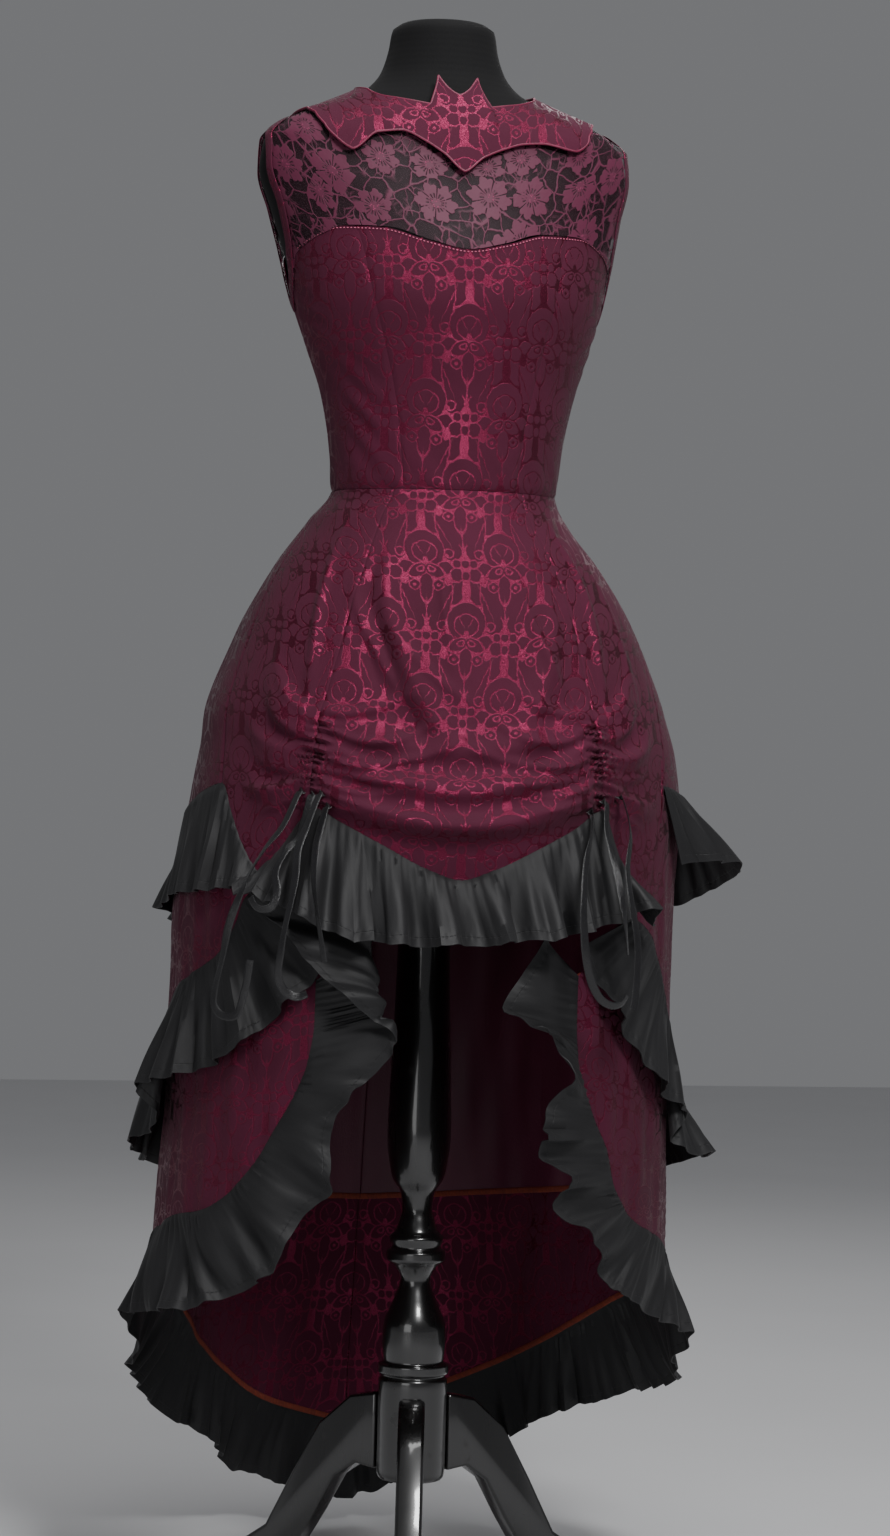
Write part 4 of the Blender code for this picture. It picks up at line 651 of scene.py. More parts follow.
def makeLace(values):
    finish = Finish("floweredLace", Roughness=0.62, Sheen_Weight=0.05)
    flat = finish.flat()
    spread = finish.add("ShaderNodeTexVoronoi", {"feature": "F1"},
                        {"Vector": flat, "Scale": 1 / values["spacing"], "Randomness": 0.62})
    local = finish.vector("SUBTRACT", flat, spread[2])
    spot = finish.split(local)
    tint = finish.split(spread[1])
    reach = (spot[0] * spot[0] + spot[1] * spot[1]).math("SQRT")
    turn = spot[1].math("ARCTAN2", spot[0]) + tint[0] * 6.0
    grain = finish.noise(flat, 240.0, 2.0)[0] - 0.5
    petal = (turn * 3.0).math("COSINE").math("ABSOLUTE")
    lobes = (turn * 6.0 + 1.0).math("SINE").math("ABSOLUTE")
    size = (0.62 + 0.26 * petal + 0.16 * lobes) * values["flower"]
    size = size * (0.8 + 0.35 * tint[1]) + grain * 0.004
    flower = ((size - reach) * 1600 + 0.5).clamp()
    cleft = ((0.10 - petal) * 9.0 + 0.5).clamp() * ((reach - 0.0035) * 900).clamp()
    rib = ((0.22 - (petal - 0.8).math("ABSOLUTE")) * 6.0).clamp() * ((0.012 - reach) * 500).clamp()
    rib = rib * ((reach - 0.005) * 900).clamp()
    flower = (flower - cleft - rib * 0.8).clamp()
    bent = finish.vector("ADD", flat, finish.vector("MULTIPLY", finish.vector(
        "SUBTRACT", finish.noise(flat, 42.0, 3.0)[1], (0.5, 0.5, 0.5)), (0.014, 0.014, 0.0)))
    large = finish.add("ShaderNodeTexVoronoi", {"feature": "DISTANCE_TO_EDGE"},
                       {"Vector": bent, "Scale": 46.0})[0]
    small = finish.add("ShaderNodeTexVoronoi", {"feature": "DISTANCE_TO_EDGE"},
                       {"Vector": finish.vector("MULTIPLY", bent, (1.0, 0.55, 1.0)), "Scale": 120.0})[0]
    veins = ((values["vein"] * 46 * 0.9 - large) * 26 + 0.5).clamp()
    fill = finish.noise(flat, 26.0, 2.0)[0]
    tendrils = ((values["vein"] * 120 * 0.62 - small) * 10 + 0.5).clamp() * ((fill - 0.5) * 9).clamp()
    thread = flower.math("MAXIMUM", veins).math("MAXIMUM", tendrils)
    dots = ((0.30 - finish.add("ShaderNodeTexVoronoi", {"feature": "F1"},
                               {"Vector": flat, "Scale": 420.0})[0]) * 8).clamp()
    heart = dots * ((0.0062 - reach) * 900).clamp()
    net = (((spot[0] + spot[1]) * 4200).math("SINE")
           * ((spot[0] - spot[1]) * 4200).math("SINE")).math("ABSOLUTE")
    colour = finish.mix(thread, values["ground"], values["thread"])
    finish.feed("Base Color", finish.mix(heart, colour, values["bright"]))
    finish.feed("Alpha", (thread * 0.95 + (0.5 * values["net"] + net * values["net"]) * (1 - thread)
                          + heart).clamp())
    finish.bump(thread + heart * 0.6 + grain * 0.6, 0.0006, 0.6)
    return finish.material


def makePlain(name, colour, darker, scale, rough, roughness, bumpSize, stretch=(1.0, 1.0, 1.0), **settings):
    finish = Finish(name, **settings)
    place = finish.vector("MULTIPLY", finish.flat(), stretch)
    slow = finish.noise(place, scale, 3.0)[0]
    fine = finish.noise(place, scale * 45, 2.0)[0]
    finish.feed("Base Color", finish.mix((slow * 1.5 - 0.25).clamp(), darker, colour))
    finish.feed("Roughness", slow * roughness + fine * roughness * 0.5 + rough - roughness * 0.75)
    finish.bump(fine + slow * 0.8, bumpSize, 0.6)
    return finish.material


taffetaLook = {
    "colour": (0.0085, 0.0083, 0.0092, 1), "worn": (0.015, 0.0148, 0.016, 1), "rough": 0.58, "hem": 0.01,
}


def makeTaffeta(values):
    finish = Finish("blackTaffeta", Sheen_Weight=0.03, Specular_IOR_Level=0.36)
    flat = finish.flat()
    spot = finish.split(flat)
    slow = finish.noise(flat, 22.0, 3.0)[0]
    crush = finish.noise(finish.vector("MULTIPLY", flat, (1.0, 0.3, 1.0)), 150.0, 3.0)[0]
    rib = (spot[1] * (2 * math.pi / 0.0009)).math("SINE")
    edge = ((spot[1] - 0.0012).math("ABSOLUTE") * -900 + 1).clamp()
    line = ((spot[1] - values["hem"]).math("ABSOLUTE") * -1300 + 1).clamp()
    dash = ((spot[0] * (2 * math.pi / 0.0034)).math("SINE") * 4 + 1.5).clamp()
    pucker = (spot[0] * (2 * math.pi / 0.0068) + slow * 9).math("SINE")
    pucker = pucker * ((spot[1] - values["hem"]).math("ABSOLUTE") * -160 + 1).clamp()
    finish.feed("Base Color", finish.mix((slow * 0.7 + edge * 0.5).clamp(), values["colour"],
                                         values["worn"]))
    finish.feed("Roughness", slow * 0.14 + crush * 0.08 + values["rough"] - 0.1)
    finish.bump(rib * 0.05 + crush * 0.9 - line * (0.5 + dash) * 0.7 + pucker * 0.5, 0.0007, 0.6)
    return finish.material


def makeLacquer():
    finish = Finish("blackLacquer", Coat_Roughness=0.08, Roughness=0.3)
    place = finish.placeOn()
    long = finish.noise(finish.vector("MULTIPLY", place, (30.0, 30.0, 4.0)), 1.0, 3.0)[0]
    dust = finish.noise(place, 60.0, 4.0)[0]
    worn = ((dust - 0.66) * 7).clamp()
    finish.feed("Base Color", finish.mix(worn * 0.6, (0.0040, 0.0037, 0.0038, 1), (0.022, 0.019, 0.018, 1)))
    finish.feed("Roughness", long * 0.16 + worn * 0.25 + 0.20)
    finish.feed("Coat Weight", 1 - worn * 0.7)
    finish.bump(long + dust * 0.15, 0.0004, 0.35)
    return finish.material


def makeJersey():
    finish = Finish("blackJersey", Sheen_Weight=0.02, Specular_IOR_Level=0.25)
    place = finish.placeOn()
    slow = finish.noise(place, 14.0, 3.0)[0]
    spot = finish.split(place)
    knit = finish.noise(finish.vector("MULTIPLY", place, (1.0, 1.0, 0.35)), 900.0, 1.0)[0]
    finish.feed("Base Color", finish.mix(slow, (0.0018, 0.0017, 0.0020, 1), (0.0036, 0.0034, 0.0039, 1)))
    finish.feed("Roughness", knit * 0.1 + slow * 0.08 + 0.76)
    finish.bump(knit + (spot[2] * 900).math("SINE") * 0.2, 0.0003, 0.5)
    return finish.material


brocade = makeBrocade(damask)
lace = makeLace(laceLook)
taffeta = makeTaffeta(taffetaLook)
lacquer = makeLacquer()
jersey = makeJersey()
liningCloth = makePlain("magentaLining", (0.085, 0.0038, 0.026, 1), (0.050, 0.0024, 0.016, 1), 12.0, 0.52,
                        0.16, 0.0006, (1.0, 0.5, 1.0), Sheen_Weight=0.05)
pipingCloth = makePlain("rolledEdge", (0.20, 0.0125, 0.052, 1), (0.12, 0.007, 0.030, 1), 90.0, 0.42, 0.2,
                        0.0003)
topThread = makePlain("pinkThread", (0.66, 0.16, 0.26, 1), (0.48, 0.10, 0.18, 1), 400.0, 0.5, 0.2, 0.0001)
ribbonSatin = makePlain("blackSatin", (0.011, 0.0105, 0.012, 1), (0.006, 0.0058, 0.0066, 1), 60.0, 0.27,
                        0.12, 0.0003, (4.0, 0.6, 1.0), Sheen_Weight=0.03)
overlock = makePlain("rustOverlock", (0.26, 0.040, 0.012, 1), (0.10, 0.012, 0.008, 1), 300.0, 0.75, 0.1,
                     0.0012, (1.6, 0.4, 1.0))
print("finishes made")


# Upright folds let out of the waist behind: angle at the waist and at the hem, half width, depth, top and
# bottom.
backFlutes = [
    (-104, -99, 7.0, 0.004, 1.15, 0.905), (-121, -117, 6.0, 0.006, 1.215, 0.9),
    (-133, -131, 5.0, 0.004, 1.225, 0.93), (-146, -143, 6.5, 0.007, 1.22, 0.86),
    (-158, -158, 5.0, 0.005, 1.225, 0.89), (-170, -171, 6.0, 0.008, 1.228, 0.85),
    (99, 96, 8.0, 0.004, 1.16, 0.925), (116, 113, 6.0, 0.005, 1.2, 0.9),
    (129, 126, 5.0, 0.006, 1.222, 0.905), (142, 141, 6.0, 0.005, 1.218, 0.88),
    (154, 153, 5.5, 0.008, 1.226, 0.865), (167, 168, 5.0, 0.006, 1.226, 0.855),
]


def backLift(angle, height):
    total = np.zeros(np.shape(angle))
    for atWaist, atHem, width, depth, top, bottom in backFlutes:
        t = np.clip((top - height) / (top - bottom), 0, 1)
        centre = atWaist + (atHem - atWaist) * t
        total += depth * np.exp(-((angle - centre) / width) ** 2) * np.sin(math.pi * np.clip(t, 0,
            0.8)) * dropIn(t * 4)
    return total


def dressPoint(angle, height, out):
    return skirtPoint(angle, height, apronLift(angle, height) + backLift(angle, height) + out)


def tierPoint(angle, height, out):
    drape = 0.0009 * np.sin(np.radians(angle) * 31 + height * 22) + 0.0006 * np.sin(np.radians(angle) * 53
        - height * 17)
    return skirtPoint(angle, height, drape + out)


def inwardFrom(points):
    # Level directions from the cloth to the stand's axis.
    inward = axis - points
    inward[:, 2] = 0
    return inward / np.linalg.norm(inward, axis=1)[:, None]


def travelAlong(path):
    return np.concatenate([[0], np.linalg.norm(np.diff(path, axis=0), axis=1).cumsum()])


def squared(wave):
    # Makes a round section nearly square.
    return np.sign(wave) * np.abs(wave) ** 0.5


def selectOnly(piece):
    bpy.ops.object.select_all(action="DESELECT")
    piece.select_set(True)
    bpy.context.view_layer.objects.active = piece


def makeGrid(name, points, flat=None):
    bpy.ops.object.select_all(action="DESELECT")
    rows, columns = points.shape[:2]
    bpy.ops.mesh.primitive_grid_add(x_subdivisions=columns - 1, y_subdivisions=rows - 1, size=1.0)
    piece = bpy.context.object
    piece.name = name
    data = piece.data
    data.name = name
    data.vertices.foreach_set("co", np.ascontiguousarray(points, np.float32).ravel())
    if flat is not None:
        corners = np.empty(len(data.loops), np.int32)
        data.loops.foreach_get("vertex_index", corners)
        data.uv_layers[0].uv.foreach_set("vector", flat.reshape(-1, 2)[corners].astype(np.float32).ravel())
    data.update()
    return piece


def applyAll(piece):
    selectOnly(piece)
    for modifier in list(piece.modifiers):
        bpy.ops.object.modifier_apply(modifier=modifier.name)


def closeSeams(piece, reach=0.00002):
    selectOnly(piece)
    bpy.ops.object.mode_set(mode="EDIT")
    bpy.ops.mesh.select_all(action="SELECT")
    bpy.ops.mesh.remove_doubles(threshold=reach)
    bpy.ops.mesh.normals_make_consistent(inside=False)
    bpy.ops.object.mode_set(mode="OBJECT")


def dress(piece, finish, nodes=(), smoothTo=55):
    piece.data.materials.clear()
    piece.data.materials.append(finish)
    selectOnly(piece)
    bpy.ops.object.shade_smooth_by_angle(angle=math.radians(smoothTo))
    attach(piece, "root")
    if nodes:
        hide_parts(*nodes)


def cloth(name, points, flat, thickness, finish, nodes):
    piece = makeGrid(name + "_cloth", points, flat)
    wall = piece.modifiers.new("wall", "SOLIDIFY")
    wall.thickness = thickness
    wall.offset = -1.0
    wall.use_even_offset = False
    applyAll(piece)
    dress(piece, finish, nodes)
    return piece


def brocadeCloth(name, points, spots, curve):
    return cloth(name, points, straightCloth(points, spots, curve), sizes["brocade"], brocade,
                 [name])


def inOrder(low, high):
    return (low, high) if low[0, 0] < low[-1, 0] else (low[::-1], high[::-1])


def sweep(name, path, wide, thick, turnBy=None, sides=10):
    path = np.asarray(path, float)
    ahead = np.gradient(path, axis=0)
    ahead /= np.linalg.norm(ahead, axis=1)[:, None]
    outward = path - axis
    outward[:, 2] = 0
    outward -= ahead * (outward * ahead).sum(1)[:, None]
    outward /= np.linalg.norm(outward, axis=1)[:, None]
    across = np.cross(outward, ahead)
    if turnBy is not None:
        c, s = np.cos(turnBy)[:, None], np.sin(turnBy)[:, None]
        outward, across = outward * c + across * s, across * c - outward * s
    turn = np.linspace(0, 2 * math.pi, sides + 1)
    x, y = squared(np.cos(turn)) * wide, squared(np.sin(turn)) * thick
    rings = path[:, None] + across[:, None] * x[None, :, None] + outward[:, None] * y[None, :, None]
    ends = [np.broadcast_to(path[:1, None], rings[:1].shape),
            np.broadcast_to(path[-1:, None], rings[:1].shape)]
    rings = np.concatenate([ends[0], rings, ends[1]])
    length = travelAlong(path)
    length = np.concatenate([[0], length, length[-1:]])
    flat = np.stack([np.broadcast_to(turn / 7 * wide * 4, rings.shape[:2]),
                     np.broadcast_to(length[:, None], rings.shape[:2])], -1)
    piece = makeGrid(name, rings, flat)
    closeSeams(piece)
    return piece


ribbonCut = {"width": 0.009, "thickness": 0.0012, "gap": 0.0006, "lead": 0.009, "step": 0.004, "twist": 0.5}


def smoothRoute(points, step):
    points = np.asarray(points, float)
    fine = []
    for index in range(len(points) - 1):
        before, start = points[max(index - 1, 0)], points[index]
        end, after = points[index + 1], points[min(index + 2, len(points) - 1)]
        for t in np.arange(24) / 24:
            square = (2 * before - 5 * start + 4 * end - after) * t * t
            cube = (3 * start - before - 3 * end + after) * t * t * t
            fine.append(0.5 * (2 * start + (end - before) * t + square + cube))
    fine = np.array(fine + [points[-1]])
    travel = travelAlong(fine)
    spots = np.linspace(0, travel[-1], int(travel[-1] / step) + 1)
    return np.stack([np.interp(spots, travel, fine[:, axisNumber]) for axisNumber in range(3)], -1)


for number, (name, route) in enumerate(ribbonRoutes.items()):
    angle, height = route[0][:2]
    start = dressPoint(angle, height, ribbonCut["gap"])
    lead = dressPoint(angle, height, ribbonCut["lead"]) + np.array([0, 0, -0.001])
    path = smoothRoute([start, lead] + [skirtPoint(*row) for row in route[1:]], ribbonCut["step"])
    twist = unevenness(np.arange(len(path)) * ribbonCut["step"], 12, number * 5.3) * ribbonCut["twist"] * 2
    piece = sweep(name + "_satin", path, ribbonCut["width"] / 2, ribbonCut["thickness"] / 2, twist)
    dress(piece, ribbonSatin, [name])
print("ribbons made")

# Bodice: front, two side fronts and two backs, cut on the straight grain.
bodiceCut = {
    "princessLow": 30.0, "princessTop": 38.0, "sideLow": 88.0, "sideTop": 90.0, "rows": 60, "columns": 44,
    "sideColumns": 36, "backColumns": 44,
}
bustCurve = makeCurve(bustSeam)


def bustHeight(angle):
    return readCurve(bustCurve, np.abs(angle))[..., 1]


def bodicePanel(name, lowStart, lowEnd, topStart, topEnd, columns):
    turns = np.linspace(topStart, topEnd, columns + 1)
    low = np.stack([np.linspace(lowStart, lowEnd, columns + 1),
                    np.full(columns + 1, sizes["waist"] + 0.0004)], -1)
    low, high = inOrder(low, np.stack([turns, bustHeight(turns)], -1))
    points, spots = clothGrid(low, high, bodiceCut["rows"], bodicePoint, 0.0, 0)
    piece = brocadeCloth(name, points, spots, formCurve)


bodicePanel("bodice_front", -bodiceCut["princessLow"], bodiceCut["princessLow"],
            -bodiceCut["princessTop"], bodiceCut["princessTop"], bodiceCut["columns"])
for side, sign in sides:
    bodicePanel("bodice_side_front_" + side, sign * bodiceCut["princessLow"], sign * bodiceCut["sideLow"],
                sign * bodiceCut["princessTop"], sign * bodiceCut["sideTop"],
                bodiceCut["sideColumns"])
    bodicePanel("bodice_back_" + side, sign * bodiceCut["sideLow"], sign * sizes["centreBack"],
                sign * bodiceCut["sideTop"], sign * sizes["centreBack"],
                bodiceCut["backColumns"])
print("bodice made")

# Lace yoke: one piece in front and two behind.
yokeCut = {
    "rows": 44, "columns": 96, "backColumns": 48, "seamRise": 0.0006, "frontEnd": 88.5, "backStart": 101.5,
}
neckCurve = makeCurve(neckLine)
armholeCurve = makeCurve(armholeEdge)


def neckHeight(angle):
    return readCurve(neckCurve, np.abs(angle))[..., 1]


def yokePoints(turns, column, pivot):
    share = dropIn(np.linspace(0, 1, yokeCut["rows"] + 1)) * 0.4 + np.linspace(0, 1,
        yokeCut["rows"] + 1) * 0.6
    far = turns[np.argmax(np.abs(turns - pivot))]
    lowFar = bustHeight(far)
    limit = readCurve(armholeCurve, lowFar + (neckHeight(90.0) - lowFar) * share)[..., column]
    narrowing = (limit - abs(pivot)) / (abs(far) - abs(pivot))
    turn = pivot + (turns[None] - pivot) * narrowing[:, None]
    low = bustHeight(turns)[None] + yokeCut["seamRise"]
    height = low + (neckHeight(turn) - low) * share[:, None]
    fold = 0.0008 * np.sin(np.radians(turn) * 9 + height * 60) * np.sin(math.pi * share)[:, None]
    points = formPoint(turn, height, sizes["yokeClear"] + sizes["lace"] + np.maximum(fold, -0.0002))
    return points, np.stack([turn, height], -1)


def yokePanel(name, turns, column, pivot):
    points, spots = yokePoints(turns, column, pivot)
    piece = cloth(name, points, straightCloth(points, spots, formCurve), sizes["lace"], lace,
                  [name])


yokePanel("yoke_front", np.linspace(-yokeCut["frontEnd"], yokeCut["frontEnd"], yokeCut["columns"] + 1), 1,
          0.0)
for side, sign in sides:
    turns = np.sort(sign * np.linspace(yokeCut["backStart"], sizes["centreBack"],
                                       yokeCut["backColumns"] + 1))
    yokePanel("yoke_back_" + side, turns, 2, sign * sizes["centreBack"])
print("yoke made")

# Skirt: gathered front, side fronts and backs share one lower line, so that their seams meet.
skirtCut = {
    "frontColumns": 108, "frontRows": 130, "sideColumns": 84, "sideRows": 120, "backColumns": 96,
    "backRows": 84,
}
apronHemCurve = makeCurve(apronHem)


def upperLine(side):
    return sideHem[side] + tierOneBack[side][1:]


def waistLine(side, places):
    sign = dict(sides)[side]
    front = sizes["princess"] + (sizes["sideAtWaist"] - sizes["princess"]) * places / 7
    back = sizes["sideAtWaist"] + (sizes["centreBack"] - sizes["sideAtWaist"]) * (places - 7) / 9
    turn = sign * np.where(places < 7, front, back)
    return np.stack([turn, np.full(len(places), sizes["waist"])], -1)


def skirtPanel(name, low, high, rows):
    low, high = inOrder(low, high)
    points, spots = clothGrid(low, high, rows, dressPoint, 0.0, -1)
    piece = brocadeCloth(name, points, spots, skirtCurve)


turns = np.linspace(-sizes["princess"], sizes["princess"], skirtCut["frontColumns"] + 1)
frontHem = np.stack([turns, readCurve(apronHemCurve, turns)[..., 1]], -1)
skirtPanel("skirt_front", frontHem, np.stack([turns, np.full(len(turns), sizes["waist"])], -1),
           skirtCut["frontRows"])
for side, sign in sides:
    for name, start, end, columns, rows in (("skirt_side_front_", 0, 7, "sideColumns", "sideRows"),
                                            ("skirt_back_", 7, 16, "backColumns", "backRows")):
        places = np.linspace(start, end, skirtCut[columns] + 1)
        skirtPanel(name + side, alongRows(upperLine(side), places), waistLine(side, places), skirtCut[rows])
print("skirt made")

# Tiers and lining: each hangs from just behind the edge above it.
tierCut = {
    "columns": 112, "rows": 40, "liningColumns": 80, "liningRows": 44, "liningHang": 0.32,
    "liningBlend": 0.75, "liningBehind": 0.0026, "twoBlend": 0.667, "threeBlend": 0.8, "drop": 0.001,
}


def blendAbove(rows, start):
    return np.clip((np.linspace(0, 1, rows + 1) - start) / (1 - start), 0, 1)[:, None, None]


def tierPoints(lowRows, highRows, upper, rows, columns, inset, blendFrom, place=tierPoint):
    places = np.linspace(0, len(lowRows) - 1, columns + 1)
    low, high = alongRows(lowRows, places), alongRows(highRows, places)
    if low[0, 0] > low[-1, 0]:
        low, high, upper = low[::-1], high[::-1], upper[::-1]
    points, spots = clothGrid(low, high, rows, place, -inset)
    upper = upper + inwardFrom(upper) * sizes["tierStep"] + np.array([0, 0, -tierCut["drop"]])
    points = points + (upper - points[-1])[None] * blendAbove(rows, blendFrom)
    return points, spots


def tierSeamPoint(side, tier, places):
    if tier == "one":
        spots = alongRows(upperLine(side), places + 4)
        return dressPoint(toCentreBack(spots[:, 0]), spots[:, 1], 0.0)
    spots = alongRows({"two": tierTwoSeam, "three": tierThreeSeam}[tier][side], places)
    return tierPoint(toCentreBack(spots[:, 0]), spots[:, 1],
                     -sizes["tierStep"] * (1 if tier == "two" else 2))


# Overlocked raw edges, seen on the inside of the last tier and of the lining.
sergedEdge = {"width": 0.007, "lift": 0.0005, "thread": 0.0009, "rows": 6}


def sergedStrip(name, points, thickness):
    inward = inwardFrom(points[0])
    direction = points[1] - points[0]
    direction /= np.linalg.norm(direction, axis=1)[:, None]
    turn = np.linspace(0, 2 * math.pi, sergedEdge["rows"] * 2 + 1)[:, None, None]
    half = sergedEdge["width"] / 2
    middle = points[0] + direction * (half - 0.0008) + inward * (thickness + sergedEdge["lift"])
    strip = middle[None] + direction[None] * half * np.cos(turn)
    strip = strip + inward[None] * sergedEdge["thread"] * np.sin(turn)
    length = levelRows(strip)
    flat = np.stack([length, np.broadcast_to(turn[..., 0] * 0.002, length.shape)], -1)
    piece = makeGrid(name, strip, flat)
    closeSeams(piece)
    dress(piece, overlock)
    return piece


for side, sign in sides:
    places = np.linspace(0, 12, tierCut["columns"] + 1)
    upper = tierSeamPoint(side, "one", places)
    points, spots = tierPoints(tierTwoSeam[side], upperLine(side)[4:], upper, tierCut["rows"],
                               tierCut["columns"],
                               sizes["tierStep"], tierCut["twoBlend"])
    name = "tier_two_panel_" + side
    piece = brocadeCloth(name, points, spots, skirtCurve)
    second = points[0] if sign > 0 else points[0, ::-1]
    points, spots = tierPoints(tierThreeSeam[side], tierTwoSeam[side], second, tierCut["rows"],
                               tierCut["columns"],
                               2 * sizes["tierStep"], tierCut["threeBlend"])
    name = "tier_three_panel_" + side
    piece = brocadeCloth(name, points, spots, skirtCurve)
    strip = sergedStrip("tier_three_serging_" + side, points, sizes["brocade"])
    places = np.linspace(7, 16, tierCut["liningColumns"] + 1)
    hem, waist = alongRows(upperLine(side), places), waistLine(side, places)
    tops = hem + (waist - hem) * tierCut["liningHang"]
    upper = dressPoint(tops[:, 0], tops[:, 1], 0.0)
    low = alongRows(liningHem[side], places - 7)
    flip = slice(None, None, 1 if sign > 0 else -1)
    points, spots = clothGrid(low[flip], tops[flip], tierCut["liningRows"], tierPoint,
                              -sizes["liningInset"])
    blend = blendAbove(tierCut["liningRows"], tierCut["liningBlend"])
    hung = upper[flip] + inwardFrom(upper[flip]) * tierCut["liningBehind"]
    points = points + (hung - points[-1])[None] * blend
    name = "lining_" + side
    piece = cloth(name, points, straightCloth(points, spots, skirtCurve), sizes["brocade"], liningCloth,
                  [name])
    strip = sergedStrip("lining_serging_" + side, points, sizes["brocade"])
print("tiers and lining made")

# Ruffles: gathered strips whose pleats fade into flutes towards the free edge.
ruffleCut = {
    "rows": 26, "cell": 0.0042, "pleat": 0.0115, "pleatDepth": 0.0017, "wave": 0.044, "waveShare": 0.34,
    "tuck": 0.0016, "under": 0.0006,
}
# How far a ruffle's flutes stand off in their hollows and on their crests.
ruffleFlare = {"one": (0.014, 0.040), "two": (0.014, 0.042), "three": (0.010, 0.036)}


def waveStations(rows, seam, drop, low, high):
    result = list(rows)
    place = rows[-1][0]
    count = len(rows)
    while place < 11.3:
        count += 1
        place += 0.62 + 0.10 * math.sin(count * 2.3)
        angle, height = alongRows(seam, np.array([place]), False)[0]
        out = high + 0.006 * math.sin(count * 1.7) if count % 2 == 0 else low
        swing = math.copysign(2.0, angle) * math.sin(count * 2.9)
        result.append((place, angle + swing, height - drop - 0.004 * math.sin(count * 1.3), out))
    result.append((12.0, seam[-1][0], seam[-1][1] - drop, low + 0.006))
    return result


def ruffle(name, seamPoints, stations, seed):
    first, last = stations[0][0], stations[-1][0]
    guide = np.linspace(first, last, 400)
    curve = makeCurve(stations)
    values = readCurve(curve, guide)
    edge = skirtPoint(values[:, -3], values[:, -2], values[:, -1])
    steps = [np.linalg.norm(np.diff(line, axis=0), axis=1) for line in (edge, seamPoints(guide))]
    travel = np.concatenate([[0], np.cumsum(steps[0] + steps[1])]) / 2
    columns = int(travel[-1] / ruffleCut["cell"])
    places = np.interp(np.linspace(0, travel[-1], columns + 1), travel, guide)
    top = seamPoints(places)
    values = readCurve(curve, places)
    values[:, -3] = toCentreBack(values[:, -3])
    edge = skirtPoint(values[:, -3], values[:, -2], values[:, -1])
    s = np.linspace(1, 0, ruffleCut["rows"] + 1)[:, None, None]
    if len(stations[0]) > 4:
        middle = skirtPoint(toCentreBack(values[:, 1]), values[:, 2], values[:, 3])
        points = top * (1 - s) * (1 - 2 * s) + middle * 4 * s * (1 - s) + edge * s * (2 * s - 1)
    else:
        points = top * (1 - s) + edge * s
    down = points[-2] - top
    down /= np.linalg.norm(down, axis=1)[:, None]
    points[-1] = top - down * ruffleCut["tuck"] + inwardFrom(top) * ruffleCut["under"]
    along = np.linspace(0, travel[-1], columns + 1)
    if values[0, -3] > values[-1, -3]:
        points, values, along = points[:, ::-1], values[::-1], along[::-1]
    across = np.gradient(points, axis=1)
    normal = np.cross(across, np.gradient(points, axis=0))
    normal /= np.maximum(np.linalg.norm(normal, axis=2)[..., None], 1e-9)
    s = s[..., 0]
    wander = unevenness(along, 14, seed)
    fine = 0.5 + 0.5 * np.sin(2 * math.pi * along / ruffleCut["pleat"] + 7 * wander)
    fine = fine * (0.7 + 0.6 * unevenness(along, 55, seed + 3))
    pleats = ruffleCut["pleatDepth"] * 2 * fine[None] * dropIn(s / 0.06) * np.clip(1 - s / 0.75, 0, 1)
    reach = np.clip(values[:, -1] * ruffleCut["waveShare"], 0.0012, 0.0055)
    waves = np.sin(2 * math.pi * along / ruffleCut["wave"] + 9 * unevenness(along, 9, seed + 7) + 0.8 * s)
    small = 0.3 * np.sin(2 * math.pi * along / 0.019 + 6 * unevenness(along, 21, seed + 9) - s)
    calm = np.clip((180 - np.abs(values[:, -3])) / 1.6, 0, 1)[None]
    lift = calm * (pleats + reach[None] * (waves + small) * dropIn(s * 1.3 - 0.1))
    points = points + normal * lift[..., None]
    depth = np.concatenate([np.zeros((1, columns + 1)),
                            np.linalg.norm(np.diff(points, axis=0), axis=2).cumsum(0)])
    flat = np.stack([np.broadcast_to(along, depth.shape), depth], -1)
    piece = cloth(name, points, flat, sizes["ruffle"], taffeta, [name])


def apronSeam(places):
    right = alongRows(sideHem["right"], np.clip(4 - places, 0, 7))
    left = alongRows(sideHem["left"], np.clip(places - 24, 0, 7))
    turn = np.clip(-35 + 3.5 * (places - 4), -35, 35)
    front = np.stack([turn, readCurve(apronHemCurve, turn)[..., 1]], -1)
    spots = np.where((places < 4)[:, None], right, np.where((places > 24)[:, None], left, front))
    return dressPoint(spots[:, 0], spots[:, 1], 0.0)


ruffle("apron_ruffle", apronSeam, apronRuffle, 1.0)
for side, sign in sides:
    seed = 20.0 + 10 * sign
    tail = waveStations(tierOneRuffle[side], upperLine(side)[4:], sizes["ruffleDrop"], *ruffleFlare["one"])
    ruffle("tier_one_ruffle_" + side, lambda places, side=side: tierSeamPoint(side, "one", places), tail,
           seed)
    tail = waveStations(tierTwoRuffle[side], tierTwoSeam[side], sizes["ruffleDrop"], *ruffleFlare["two"])
    ruffle("tier_two_ruffle_" + side, lambda places, side=side: tierSeamPoint(side, "two", places), tail,
           seed + 1)
    rows = tierThreeRuffle[side]
    tail = waveStations([rows[-1][:1] + rows[-1][4:]], tierThreeSeam[side], sizes["ruffleDrop"],
                        *ruffleFlare["three"])
    stations = list(rows)
    for place, angle, height, out in tail[1:]:
        seamAngle, seamHeight = alongRows(tierThreeSeam[side], np.array([place]), False)[0]
        stations.append((place, (angle + seamAngle) / 2, (height + seamHeight) / 2, out * 0.4, angle,
                         height, out))
    ruffle("tier_three_ruffle_" + side, lambda places, side=side: tierSeamPoint(side, "three", places),
           stations,
           seed + 2)
print("ruffles made")

